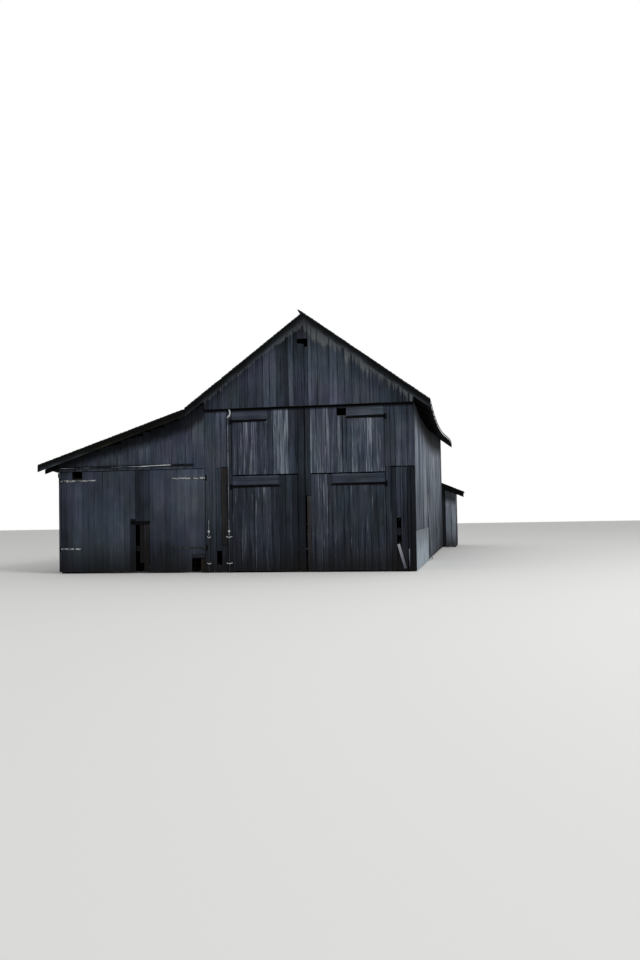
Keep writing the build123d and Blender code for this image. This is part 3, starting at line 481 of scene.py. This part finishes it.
# Roofs: split shingles about 130 mm wide in courses 125 mm apart, nailed through to the sheathing. They
# went dark with rain and lichen, and each one's butt stands a finger's breadth over the next.
shingle_wood, tree, place = new_material("split_shingle_wet_dark", 0.85)
along, tone, drop, edge = board_values(tree)
split = noise(tree, along, (90, 90, 5), 4)
lichen = noise(tree, place, (1.3, 1.3, 1.3), 6, 0.65)
patch = noise(tree, place, (0.35, 0.35, 0.35), 2)
shade = weighted(tree, [(split, 0.6), (tone, 1), (patch, 0.5)], 0.5)
colour = ramp(tree, shade, [(0.0, "#0d0e10"), (0.35, "#222427"), (0.6, "#343639"), (0.85, "#505254"),
                            (1.0, "#747676")])
surface(tree, stain_and_shade(tree, colour, "#33362d", [(lichen, 3), (patch, 2)], -0.2, 0.45), split, depth=0.004)

EAVE_X, VALLEY_X, LEAN_EAVE_X, LEAN_RUN = 5.41, -1.47, -5.9, 4.43
SHINGLE_BED = 0.0405
Y_RAKE, Y_REAR_RAKE = -9.735, 7.535
outer = node_points("main_shingles_right")
eave_y, eave_z = upper_outline(outer[outer[:, 0] > outer[:, 0].max() - 1e-3], 1)


def sway(y):
    """Height of the swayback over its front end: the right eave's line less its height there."""
    return np.interp(y, eave_y, eave_z) - eave_z[0]


def on_slope(x0, z0, side, slope, s, y, h, sag=sway):
    """Points of a roof: s down the slope from (x0, z0), y along the barn with its sag, h square out."""
    tilt = atan(slope)
    x = x0 + side * (s * cos(tilt) + h * sin(tilt))
    z = z0 - s * sin(tilt) + h * cos(tilt) + sag(y)
    return np.stack(np.broadcast_arrays(x, y, z), -1)


def level(y):
    """A roof with no sag."""
    return 0 * y


def shingles(name, node, slope_at, length, seed, y0=Y_RAKE, y1=Y_REAR_RAKE, sag=sway, course=0.125,
             width=0.13, slab=0.04, head=0):
    """Every shingle is a wedge of eight points: butt and head ends, each with two sides and two faces.
    Its butt lies a course above the one below with a ragged slip, its face dips under the next course,
    and its sides are split at random widths. One thin slab under them follows the sag, and starts a head
    above the first course."""
    rng = np.random.default_rng(seed)
    courses = round(length / course)
    across = round((y1 - y0) / width)
    steps = rng.uniform(0.6, 1.4, (courses, across))
    edge = y0 + (y1 - y0) * np.cumsum(steps, 1) / steps.sum(1)[:, None]
    right = edge.ravel()
    left = np.concatenate([np.full((courses, 1), y0), edge[:, :-1]], 1).ravel()
    butt = np.repeat(length - np.arange(courses) * length / courses, across)
    whole = rng.random(len(butt)) > 0.012
    left, right, butt = left[whole], right[whole], butt[whole]
    n = len(butt)
    slip = rng.uniform(-0.012, 0.012, n)
    skew = rng.uniform(-0.004, 0.004, n)
    lift = rng.uniform(-0.003, 0.0015, n)
    end = np.array([0, 0, 0, 0, 1, 1, 1, 1])
    right_side = np.array([0, 1, 1, 0, 0, 1, 1, 0])
    under = np.array([0, 0, 1, 1, 0, 0, 1, 1])
    reach = np.minimum(0.225, butt)
    s = butt[:, None] + (slip * (butt < length - 0.01))[:, None] + skew[:, None] * (right_side - 0.5) * 2
    s = s - end * reach[:, None]
    gap = 0.003
    y = np.where(right_side, right[:, None] - gap, left[:, None] + gap)
    h = -0.003 + lift[:, None] - end * 0.016 - under * np.where(end, 0.003, 0.014)
    co = on_slope(*slope_at, s, y, h, sag)
    box = np.array([[0, 1, 2, 3], [4, 7, 6, 5], [0, 4, 5, 1], [1, 5, 6, 2], [2, 6, 7, 3], [3, 7, 4, 0]])
    faces = (np.arange(n)[:, None, None] * 8 + box).reshape(-1, 4)
    own = rng.uniform(0, 30, (n, 1, 2))
    grain = np.stack([y + own[..., 0], h, s + own[..., 1]], -1)
    shade = 0.5 + rng.uniform(-0.2, 0.2, (n, 1)) + 0 * y
    stations = np.linspace(y0, y1, 60)
    ring_s, ring_h = np.array([-head, -head, length, length]), np.array([-0.022, -slab, -slab, -0.022])
    bed = on_slope(*slope_at, ring_s, stations[:, None], ring_h, sag)
    bed_grain = np.stack(np.broadcast_arrays(stations[:, None], ring_h, ring_s), -1)
    bed_faces = [quad + n * 8 for quad in bar_faces(1, 60, 4)]
    solid_mesh(name, np.concatenate([co.reshape(-1, 3), bed.reshape(-1, 3)]), [faces, *bed_faces], "barn",
               "roof_shingles", shingle_wood, node,
               grain=np.concatenate([grain.reshape(-1, 3), bed_grain.reshape(-1, 3)]),
               tone=np.concatenate([shade.ravel(), np.full(bed.size // 3, 0.3)]))


RIDGE_Z = float(eave_z[0]) + (EAVE_X - X_RIDGE) * MAIN_SLOPE
MAIN_COS = cos(atan(MAIN_SLOPE))
COMB, left_start = 0.12, 0.034
right_at = (X_RIDGE - COMB, RIDGE_Z + COMB * MAIN_SLOPE, 1, MAIN_SLOPE)
left_at = (X_RIDGE - left_start, RIDGE_Z - left_start * MAIN_SLOPE, -1, MAIN_SLOPE)
shingles("shingles_right", "main_shingles_right", right_at, (EAVE_X - right_at[0]) / MAIN_COS, 31)
shingles("shingles_left", "main_shingles_left", left_at, (left_at[0] - VALLEY_X) / MAIN_COS, 32)
lean_points = node_points("lean_shingles")
lean_points = lean_points[lean_points[:, 1] < Y_RAKE + 1e-3]
lean_high = lean_points[lean_points[:, 0] > VALLEY_X - 0.01, 2].max()
lean_low = lean_points[lean_points[:, 0] < LEAN_EAVE_X + 0.01, 2].max()
LEAN_SLOPE = float(lean_high - lean_low) / LEAN_RUN
lean_at, lean_run = (VALLEY_X, float(lean_high), -1, LEAN_SLOPE), LEAN_RUN / cos(atan(LEAN_SLOPE))
shingles("shingles_lean_to", "lean_shingles", lean_at, lean_run, 33, head=0.035)

# Sheathing: sawn boards nailed level across the rafters, with gaps for the shingles to dry. Only their
# undersides show, coloured nearly black as a painted shade under the roof.
shaded_rough_stops = [(0.0, "#050504"), (0.35, "#100e0c"), (0.55, "#1c1915"), (0.8, "#332d26"), (1.0, "#50483e")]
shaded_roof_stops = [(0.0, "#020202"), (0.35, "#060606"), (0.55, "#0a0a0a"), (0.8, "#141312"), (1.0, "#262320")]
inner_wood_painted_shade = sawn_softwood("sawn_softwood_under_roof", shaded_roof_stops, joints=None)


def sheathing(slope_at, length, pitch, seed, y0=Y_RAKE + BOARD, y1=Y_REAR_RAKE - BOARD, sag=sway,
              thick=0.024, stations=48):
    """Level boards down a slope: a four-point section for each, carried along the sagging roof."""
    rng = np.random.default_rng(seed)
    n = round(length / pitch)
    start = np.arange(n) * length / n
    width = length / n - rng.uniform(0.004, 0.02, n)
    s = start[:, None, None] + width[:, None, None] * np.array([0, 0, 1, 1])
    h = -SHINGLE_BED - thick * np.array([0, 1, 1, 0]) - 0 * s
    y = np.linspace(y0, y1, stations)[None, :, None] + 0 * s
    co = on_slope(*slope_at, s, y, h, sag)
    own = rng.uniform(0, 40, (n, 1, 1))
    grain = np.stack(np.broadcast_arrays(s + own, h, y), -1)
    tone = 0.5 + rng.uniform(-0.15, 0.15, (n, 1, 1)) + 0 * y
    return co, bar_faces(n, stations, 4), grain, tone


def roof_boards(name, slot, slopes, node=None):
    """The sheathing of one roof, as one piece."""
    parts = [sheathing(*slope) for slope in slopes]
    starts = np.cumsum([0] + [part[0].size // 3 for part in parts[:-1]])
    faces = [quad + start for part, start in zip(parts, starts) for quad in part[1]]
    solid_mesh(name, np.concatenate([part[0].reshape(-1, 3) for part in parts]), faces, "barn", slot,
               inner_wood_painted_shade, node, grain=np.concatenate([part[2].reshape(-1, 3) for part in parts]),
               tone=np.concatenate([part[3].ravel() for part in parts]))


ridge_in = 0.03
main_slopes = [((X_RIDGE + side * ridge_in, RIDGE_Z - ridge_in * MAIN_SLOPE, side, MAIN_SLOPE),
                (EAVE_X - X_RIDGE - ridge_in) / MAIN_COS, 0.2, seed) for side, seed in ((1, 41), (-1, 42))]
roof_boards("main_sheathing_boards", "frame_timber", main_slopes, "main_sheathing")
roof_boards("lean_sheathing_boards", "frame_timber", [(lean_at, lean_run, 0.2, 43)], "lean_sheathing")

# Rear shed: a lower building against the rear right corner, with the same boards on three sides, under a
# roof of shingles on thick planks with no sag.
SHED_SLOPE = tan(radians(22.9))
SHED_TIP, SHED_EAVE, SHED_ROOF = 5.9, 2.51, 0.09
SHED_LEFT, SHED_RIGHT, SHED_REAR, SHED_HEAD = 3.13, 5.53, 9.585, 2.93


def over_shed(x):
    """Top of the shed's roof: up from its eave by the slope."""
    return SHED_EAVE + (SHED_TIP - x) * SHED_SLOPE


def under_shed_roof(x):
    """Underside of the shed's roof: its top less the roof's depth."""
    return over_shed(x) - SHED_ROOF / cos(atan(SHED_SLOPE))


edges = spaced(SHED_LEFT, SHED_RIGHT, 0.22, 51)
boards("shed_rear_boards", edges[:-1], edges[1:], 0.03, FAR, (0, SHED_REAR, 0), node="shed_walls",
       out=(0, 1, 0), roof=under_shed_roof, seed=52, ragged=0.03, **SIDE)
# The shed's front boards: the first, beside the barn's corner, is dark as a painted shadow, and the other two
# are pale as a painted light.
edges = spaced(X_RIGHT - 0.02, SHED_RIGHT, 0.2, 53)
boards("shed_front_boards", edges[:-1], edges[1:], 0.03, FAR, (0, Y_REAR, 0), slot="side_boards",
       material=shed_wood_painted_shade, roof=under_shed_roof, tone=[0.16, 0.76, 0.8], seed=54, ragged=0.03)
edges = spaced(Y_REAR + BOARD + 0.002, SHED_REAR - BOARD - 0.002, 0.22, 55)
boards("shed_right_boards", edges[:-1], edges[1:], 0.03, under_shed_roof(SHED_RIGHT), (SHED_RIGHT, 0, 0),
       across=(0, 1, 0), out=(1, 0, 0), seed=56, ragged=0.03, **SIDE)
shed_at = (SHED_HEAD, over_shed(SHED_HEAD), 1, SHED_SLOPE)
shed_run = (SHED_TIP - SHED_HEAD) / cos(atan(SHED_SLOPE))
shingles("shed_shingles", "shed_roof", shed_at, shed_run, 57, Y_REAR, SHED_REAR + 0.15, level)
roof_boards("shed_roof_planks", "roof_shingles",
            [(shed_at, shed_run, 0.19, 58, Y_REAR + 0.01, SHED_REAR + 0.14, level, 0.049, 6)])

# Frame: posts, beams and braces of rough-sawn timber, brown and dusty where the weather never reached, in a
# ramp darkened as a painted shade inside the barn, with the grain along each.
def timber(name, scale, stops=shaded_rough_stops):
    """Rough-sawn timber: grain 12 mm apart along one axis, broad stains across it."""
    material, tree, place = new_material(name, 0.9)
    grain = noise(tree, place, scale, 5, 0.6)
    stain = noise(tree, place, (1.1, 1.1, 1.1), 4)
    surface(tree, ramp(tree, weighted(tree, [(grain, 1), (stain, 0.8)], 0.5), stops), grain)
    return material


upright = timber("rough_sawn_timber_upright", (60, 60, 2))
along_x = timber("rough_sawn_timber_across", (2, 60, 60))
along_y = timber("rough_sawn_timber_along", (60, 2, 60))
# The rafters take the sheathing's near-black ramp, a painted shade.
rafter_wood = timber("rough_sawn_rafters", (2, 60, 60), shaded_roof_stops)


def finish(material, *names):
    """Gives CAD nodes a material."""
    for name in names:
        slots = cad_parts[name].data.materials
        slots.clear()
        slots.append(material)


finish(upright, "arcade_posts", "door_posts", "right_posts", "lean_posts", "rear_posts", "gable_studs",
       "shed_frame")
finish(along_x, "tie_beams", "lean_header", "knee_braces")
finish(rafter_wood, "main_rafters", "lean_rafters")
finish(along_y, "sills", "wall_plates", "wall_girts", "ridge_board", "lean_ledger")
for leaf in ("main_left", "main_right", "lean_left", "lean_right"):
    finish(along_x, f"{leaf}_ledges")

# Barge boards: 170 mm sawn boards nailed over the ends of the sheathing at both gables, in two lengths a
# slope, with plumb ends. A painted shade makes them black under the shingles' edge and lighter down the
# board; grey on the main gables, mossy on the lean-to.
barge_wood_painted_shade, tree, place = new_material("mossy_softwood_barge", 0.9)
along, tone, drop, edge = board_values(tree)
grain = noise(tree, along, (45, 45, 1.8), 5, 0.6)
stain = noise(tree, place, (1.6, 1.6, 1.6), 5, 0.65)
# Painted shade: the drop below the shingles' edge takes the shade from black at the top to grey at the foot.
shade = weighted(tree, [(grain, 0.7), (stain, 0.8), (tone, 1), (drop, 4.5)], 1.88)
grey = ramp(tree, shade, [(0.0, "#060708"), (0.35, "#191c1f"), (0.55, "#30343a"), (0.75, "#4d5258"),
                          (1.0, "#7a7f84")])
mossy = ramp(tree, shade, [(0.0, "#060605"), (0.35, "#0e0e0c"), (0.55, "#1d1d18"), (0.75, "#30302a"),
                           (1.0, "#54544a")])
x = add(tree, "ShaderNodeSeparateXYZ", {0: place}).outputs[0]
upper = add(tree, "ShaderNodeMapRange", {0: x}, i_1=-1.6, i_2=-1.3, i_3=1, i_4=0)
lower = add(tree, "ShaderNodeMapRange", {0: x}, i_1=-4.9, i_2=-4.2)
moss = add(tree, "ShaderNodeMath", {0: upper.outputs[0], 1: lower.outputs[0]}, operation="MULTIPLY")
mixed = add(tree, "ShaderNodeMix", {0: moss.outputs[0], 6: grey, 7: mossy}, data_type="RGBA")
surface(tree, mixed.outputs[2], grain)


def barge(name, slope_at, x_end, seed, node=None, joints=2, top=SHINGLE_BED, sag=sway,
          rakes=((Y_RAKE, Y_RAKE + BOARD), (Y_REAR_RAKE, Y_REAR_RAKE - BOARD)), width=0.17, tone=0.5,
          stations=14):
    """Boards along each rake, from its outer to its inner face: x runs evenly between plumb ends, the top
    edge lies square under the shingles, the lower edge wanders a few millimetres, and z follows from the
    slope and the depth square to it."""
    rng = np.random.default_rng(seed)
    x0, z0, side, slope = slope_at
    tilt = atan(slope)
    cuts = np.linspace(x0, x_end, joints + 1) + np.array([0, *rng.uniform(-0.4, 0.4, joints - 1), 0])
    parts = []
    for y_out, y_in in rakes:
        for near, far in zip(cuts[:-1], cuts[1:]):
            x = np.linspace(near + side * 0.0015, far - side * 0.0015, stations)[:, None]
            low = top + width - rng.uniform(0, 0.006, (stations, 1))
            h = np.concatenate([x * 0 + top, x * 0 + top, low - 0.004, low, low], 1)
            y = np.array([y_in, y_out, y_out, y_out + np.sign(y_in - y_out) * 0.004, y_in]) + 0 * x
            z = z0 + sag(y_out) - side * (x - x0) * slope - h / cos(tilt)
            grain_at = (h + rng.uniform(0, 9), y, side * x / cos(tilt) + rng.uniform(0, 9))
            grain_at = np.stack(np.broadcast_arrays(*grain_at), -1)
            shade = 0 * h + tone + rng.uniform(-0.08, 0.08)
            parts.append((np.stack([x + 0 * h, y, z], -1), grain_at, shade, h))
    co, grain_at, tone_at, h = (np.concatenate([part[i] for part in parts]) for i in range(4))
    solid_mesh(name, co, bar_faces(len(parts), stations, 5), "barn", "barge_boards", barge_wood_painted_shade, node,
               grain=grain_at.reshape(-1, 3), tone=tone_at.ravel(), drop=h.ravel())


half_cut = 0.001
right_rake, left_rake = ((X_RIDGE + side * half_cut, RIDGE_Z - half_cut * MAIN_SLOPE, side, MAIN_SLOPE)
                         for side in (1, -1))
barge("main_right_barge_boards", right_rake, EAVE_X, 61, "barge_boards")
barge("main_left_barge_boards", left_rake, -1.468, 62)
barge("lean_barge_boards", lean_at, LEAN_EAVE_X, 63)
# The shed's barge board is given the darkest shade, a painted shade under its roof's edge.
barge("shed_barge_board", (4.95, over_shed(4.95), 1, SHED_SLOPE), SHED_TIP, 64, None, 1, 0.012, level,
      ((Y_REAR - BOARD - 0.001, Y_REAR - 0.001),), 0.24, 0)

# Eave strip: a strip of galvanised steel nailed upright over the ends of the sheathing at the right eave,
# 50 mm deep, its bright colour a painted highlight along the lit edge of the eave. With it, at the other
# corner, a broken board end sticks out at the gable's left foot.
y = np.linspace(Y_RAKE + BOARD, Y_REAR_RAKE - BOARD, 60)[:, None]
strip = on_slope(X_RIDGE, RIDGE_Z, 1, MAIN_SLOPE, (EAVE_X - X_RIDGE) / MAIN_COS, y, -0.03)
strip = strip + np.array([(0, 0, 0), (0.002, 0, 0), (0.002, 0, -0.05), (0, 0, -0.05)])
strip_metal_painted_highlight, tree, place = new_material("galvanised_strip_bright", 0.5, 0.1)
dirt = noise(tree, place, (9, 2, 9), 5, 0.7)
surface(tree, ramp(tree, dirt, [(0.3, "#5c6266"), (0.5, "#b3b9bd"), (0.7, "#d6d9db")]))
solid_mesh("right_eave_strip", strip, bar_faces(1, 60, 4), "barn", "pale_metal", strip_metal_painted_highlight)
tip = 0.35
boards("broken_board_end", [0], [0.09], 0, 0.2, (-1.13, Y_FRONT - 0.066, 4.70), tone=1.0, seed=29,
       across=(-sin(tip), 0, cos(tip)), up=(cos(tip), 0, sin(tip)), ragged=0.05, stations=4)

# Drip board over the lean-to doors: a softwood board nailed level over their heads to throw the rain off.
# Of its white paint a band is left that rises to the right and thins at both its ends.
drip_wood, tree, place = new_material("painted_drip_board_flaking", 0.7)
flakes = noise(tree, place, (1.8, 30, 24), 6, 0.7)
x, y, z = add(tree, "ShaderNodeSeparateXYZ", {0: place}).outputs
middle = add(tree, "ShaderNodeMapRange", {0: x}, i_1=-2.95, i_2=-1.95, i_3=3.05, i_4=3.074)
off = add(tree, "ShaderNodeMath", {0: z, 1: middle.outputs[0]}, operation="SUBTRACT")
off = add(tree, "ShaderNodeMath", {0: off.outputs[0]}, operation="ABSOLUTE").outputs[0]
paint = weighted(tree, [(flakes, 1.3), (off, -20), (x, 0.28, -3.0, -2.8), (x, -0.5, -2.05, -1.85)], -9.57)
surface(tree, ramp(tree, paint, [(0.3, "#0d1014"), (0.46, "#22262c"), (0.56, "#7f8488"), (0.74, "#c4c7c7")]))
finish(drip_wood, "drip_board")

# Ironwork: forged strap hinges and pintles. The main doors' are black with rust in the pits; the lean-to's
# were once painted white and have flaked.
def forged_iron(name, stops, roughness, bare=False):
    """Wrought iron, hammered by hand: pits 8 mm apart, rust or paint where the noise says. Bare, it has
    lost its paint low down on the right."""
    material, tree, place = new_material(name, roughness, specular=0.03)
    rust = noise(tree, place, (14, 14, 14), 6, 0.7)
    pits = noise(tree, place, (120, 120, 120), 3)
    colour = ramp(tree, weighted(tree, [(rust, 1.2), (pits, 0.4)], 0.5), stops)
    if bare:
        x, y, z = add(tree, "ShaderNodeSeparateXYZ", {0: place}).outputs
        colour = stain_and_shade(tree, colour, "#1d1f24", [(x, 0.92, -2.6, -2.2)], 0.46, fade=(z, 0.9, 1.2, 1, 0))
    surface(tree, colour, pits, 0.4, 0.002)
    return material


black_iron = forged_iron("forged_iron_black", [(0.2, "#040405"), (0.6, "#0b0b0d"), (0.85, "#1d1614")], 0.8)
flaked_iron = forged_iron("forged_iron_flaked_paint", [(0.3, "#232226"), (0.46, "#4a4b4f"), (0.56, "#9ea1a3"),
                                                       (0.8, "#d0d1ce")], 0.7, bare=True)
finish(black_iron, "main_left_straps", "main_right_straps", "pintles", "latch_bar")
finish(flaked_iron, "lean_left_straps", "lean_right_straps")


def domes(name, centres, body, material, radius, rise, sides=10, slot="black_iron", out=(0, -1, 0)):
    """Domed heads, all at once: four rings round each axis, whose radius falls as the cosine and whose
    rise grows as the sine of an angle from nought to near a right angle."""
    turn = (np.arange(sides) * 2 * pi / sides)[:, None]
    angle = np.radians([0, 35, 65, 84])[:, None, None]
    beside = np.array([1, 0, 0]) if abs(out[0]) < 0.5 else np.array([0, 1, 0])
    ring = np.cos(angle) * np.cos(turn) * beside + np.cos(angle) * np.sin(turn) * np.array([0, 0, 1])
    dome = ring * radius + np.sin(angle) * rise * np.array(out, float)
    centres = np.asarray(centres, float)[:, None, None]
    solid_mesh(name, centres + dome, bar_faces(len(centres), 4, sides), body, slot, material)


# Each leaf's hinge line, the way its straps reach, the height and length of each, and their iron. A bolt
# holds every 240 mm of strap. The latch's keeper is a plate of 12 mm on the other lean-to leaf.
STRAP_FACE = Y_FRONT - 0.0078
STRAPS = {"main_left": (-0.194, 1, ((4.24, 1.0), (2.40, 1.36)), black_iron),
          "main_right": (4.124, -1, ((4.24, 1.05), (2.40, 1.5)), black_iron),
          "lean_left": (-5.334, 1, ((2.68, 1.07), (0.71, 0.6)), flaked_iron),
          "lean_right": (-0.996, -1, ((2.68, 0.95), (0.71, 0.95)), flaked_iron)}
for leaf, (axis, side, straps, iron) in STRAPS.items():
    heads = [(axis + side * at, STRAP_FACE, z) for z, length in straps
             for at in np.linspace(0.1, length - 0.04, round(length / 0.24))]
    domes(f"{leaf}_bolts", heads, f"{leaf}_door", iron, 0.011, 0.007)
KEEPER_X, KEEPER_Z = (-3.205, -3.088), (1.395, 1.52)
ring = np.array([(0, KEEPER_Z[0]), (-0.012, KEEPER_Z[0]), (-0.012, KEEPER_Z[1]), (0, KEEPER_Z[1])])
keeper = np.array([[(x, Y_FRONT + y, z) for y, z in ring] for x in KEEPER_X])
solid_mesh("latch_keeper", keeper, bar_faces(1, 2, 4), "lean_left_door", "black_iron", black_iron)

# Service pipes on the left panel: two galvanised pipes under omega-shaped saddles, the tall one with a
# hooked head and each with a bolted joint box; paint and zinc have gone from their lower ends.
zinc, tree, place = new_material("galvanised_steel_dull", 0.55, 0.3)
bloom = noise(tree, place, (6, 6, 3), 6, 0.7)
colour = ramp(tree, bloom, [(0.3, "#33373b"), (0.5, "#555a5e"), (0.7, "#83888c")])
x, y, z = add(tree, "ShaderNodeSeparateXYZ", {0: place}).outputs
surface(tree, stain_and_shade(tree, colour, "#24272b", [(z, -0.85, 0.95, 1.1)], 0.425))
finish(zinc, "service_pipes")
white_paint, tree, place = new_material("white_enamel_chipped", 0.5)
chips = noise(tree, place, (60, 60, 60), 4, 0.6)
surface(tree, ramp(tree, chips, [(0.36, "#4b4a48"), (0.44, "#a8aaab"), (0.6, "#c9cbcc")]))


def carried(name, path, radius, sides, flat=1):
    """A tube with closed ends: a ring of the radius at each station of a path in the plane of the wall,
    square to the path, squeezed outwards by a factor."""
    path = np.asarray(path, float)
    along = np.gradient(path, axis=0)
    along /= np.linalg.norm(along, axis=1)[:, None]
    out = np.array([0, -1.0, 0])
    beside = np.cross(along, out)
    turn = np.arange(sides) * 2 * pi / sides
    outward = flat * np.cross(beside, along)
    ring = np.cos(turn)[:, None] * beside[:, None] + np.sin(turn)[:, None] * outward[:, None]
    radius = np.broadcast_to(radius, len(path))[:, None, None]
    solid_mesh(name, path[:, None] + radius * ring, bar_faces(1, len(path), sides), "barn", "pale_metal",
               white_paint)


HOOK_X, HOOK_Z, HOOK_RADIUS = -0.371, 4.492, 0.148
turn = np.radians(np.linspace(-66, 38, 15))
hook = np.stack([HOOK_X + HOOK_RADIUS * np.cos(turn), np.full(15, Y_FRONT - 0.035),
                 HOOK_Z + HOOK_RADIUS * np.sin(turn)], -1)
carried("pipe_head", hook, 0.022 * np.interp(np.arange(15), [0, 2, 11, 14], [0.6, 1, 1, 0.35]), 12)
u = np.linspace(-1, 1, 13)
for pipe, (x, width) in {"tall": (-0.300, 0.17), "short": (-0.890, 0.11)}.items():
    for place, z in (("middle", 1.0), ("foot", 0.262)):
        saddle = np.stack([x + width / 2 * u, Y_FRONT - 0.0065 - 0.034 * np.exp(-(u * width / 0.05) ** 2),
                           z + 0.022 * (np.abs(u) - 0.5)], -1)
        carried(f"{pipe}_pipe_saddle_{place}", saddle, 0.011, 8, 0.45)
    domes(f"{pipe}_pipe_knob", [(x, Y_FRONT - 0.02, 1.16)], "barn", white_paint, 0.034, 0.04, 16,
          "pale_metal")

# Sheets at the foot of the right wall: two pale flat sheets of galvanised steel butted end to end, nailed
# round their edges, slightly sprung off the boards between the nails and streaked with dirt.
sheet_metal, tree, place = new_material("galvanised_sheet_weathered", 0.6, 0.15)
runs = noise(tree, place, (3, 4, 1.1), 6, 0.6)
spangle = noise(tree, place, (45, 45, 45), 3)
x, y, z = add(tree, "ShaderNodeSeparateXYZ", {0: place}).outputs
shade = weighted(tree, [(runs, 1.2), (spangle, 0.3), (z, -0.3, 0.5, 1.0)], 0.37)
colour = ramp(tree, shade, [(0.0, "#3e4348"), (0.35, "#6d767f"), (0.6, "#8e99a3"), (0.9, "#aab5be")])
surface(tree, colour, runs, 0.3, 0.004)
SHEET_LO, SHEET_HI, SHEET_FACE = 0.03, 1.09, X_RIGHT + 0.0018
ends = ((-9.360, -6.530), (-6.528, -3.698))
nails = []
for number, (y0, y1) in enumerate(ends):
    stations, rows = 41, 15
    y, z = np.meshgrid(np.linspace(y0, y1, stations), np.linspace(SHEET_LO, SHEET_HI, rows), indexing="ij")
    edge = np.sin(pi * (z - SHEET_LO) / (SHEET_HI - SHEET_LO)) * np.sin(pi * (y - y0) / (y1 - y0))
    swell = 0.0012 * edge * (1 + np.sin(7.1 * y + 2.3 * number) * np.cos(5.3 * z))
    outer_face = np.stack([SHEET_FACE + swell, y, z], -1)
    ring = np.concatenate([outer_face, (outer_face - (0.001, 0, 0))[:, ::-1]], 1)
    solid_mesh(f"patch_sheet_{number + 1}", ring, bar_faces(1, stations, 2 * rows), "barn", "pale_metal",
               sheet_metal, None if number else "patch_sheet")
    for at in np.linspace(y0 + 0.04, y1 - 0.04, 10):
        nails += [(SHEET_FACE, at, SHEET_LO + 0.05), (SHEET_FACE, at, SHEET_HI - 0.04)]
domes("patch_sheet_nails", nails, "barn", black_iron, 0.008, 0.003, 8, "pale_metal", (1, 0, 0))

# Stage: a plain pale floor, a wide soft lamp high on the front right, the world's even light, and a white
# backdrop for what the camera, metal and glass see.
scene = bpy.context.scene
floor_material, tree, place = new_material("pale_floor", 0.9)
tree.nodes["Principled BSDF"].inputs["Base Color"].default_value = linear("#d9d9d7")
floor_mesh = bpy.data.meshes.new("floor")
floor_mesh.from_pydata([(-90, -90, 0), (90, -90, 0), (90, 90, 0), (-90, 90, 0)], [], [(0, 1, 2, 3)])
floor_mesh.materials.append(floor_material)
floor = bpy.data.objects.new("floor", floor_mesh)
scene.collection.objects.link(floor)

world = bpy.data.worlds.new("studio")
world.use_nodes = True
scene.world = world
tree = world.node_tree
path = add(tree, "ShaderNodeLightPath")
seen = add(tree, "ShaderNodeMath", {0: path.outputs["Is Camera Ray"], 1: path.outputs["Is Glossy Ray"]},
           operation="MAXIMUM")
seen = add(tree, "ShaderNodeMath", {0: seen.outputs[0], 1: path.outputs["Is Transmission Ray"]},
           operation="MAXIMUM")
glow = tree.nodes["Background"]
glow.inputs[0].default_value = (1, 1, 1, 1)
strength = add(tree, "ShaderNodeMapRange", {0: seen.outputs[0]}, i_3=0.65, i_4=1.0)
tree.links.new(strength.outputs[0], glow.inputs[1])

lamp = bpy.data.lights.new("key", "AREA")
lamp.size = 16
lamp.energy = 9000
holder = bpy.data.objects.new("key", lamp)
holder.location = (30, -26, 26)
holder.rotation_euler = [radians(angle) for angle in (58, 0, 48)]
scene.collection.objects.link(holder)

# Camera at the photograph's place: 1.6 m above the ground, 24 m in front of the doors and a little to the
# right of the front right corner.
camera_data = bpy.data.cameras.new("camera")
camera_data.lens = 33.75
camera_data.sensor_width = 36
camera_data.clip_end = 400
camera = bpy.data.objects.new("camera", camera_data)
camera.matrix_world = Matrix(((0.984, 0.0244, 0.1763, 6.6962), (0.1771, -0.0339, -0.9836, -33.8265),
                              (-0.018, 0.9991, -0.0377, 1.6), (0, 0, 0, 1)))
scene.collection.objects.link(camera)
scene.camera = camera
scene.view_settings.view_transform = "Standard"
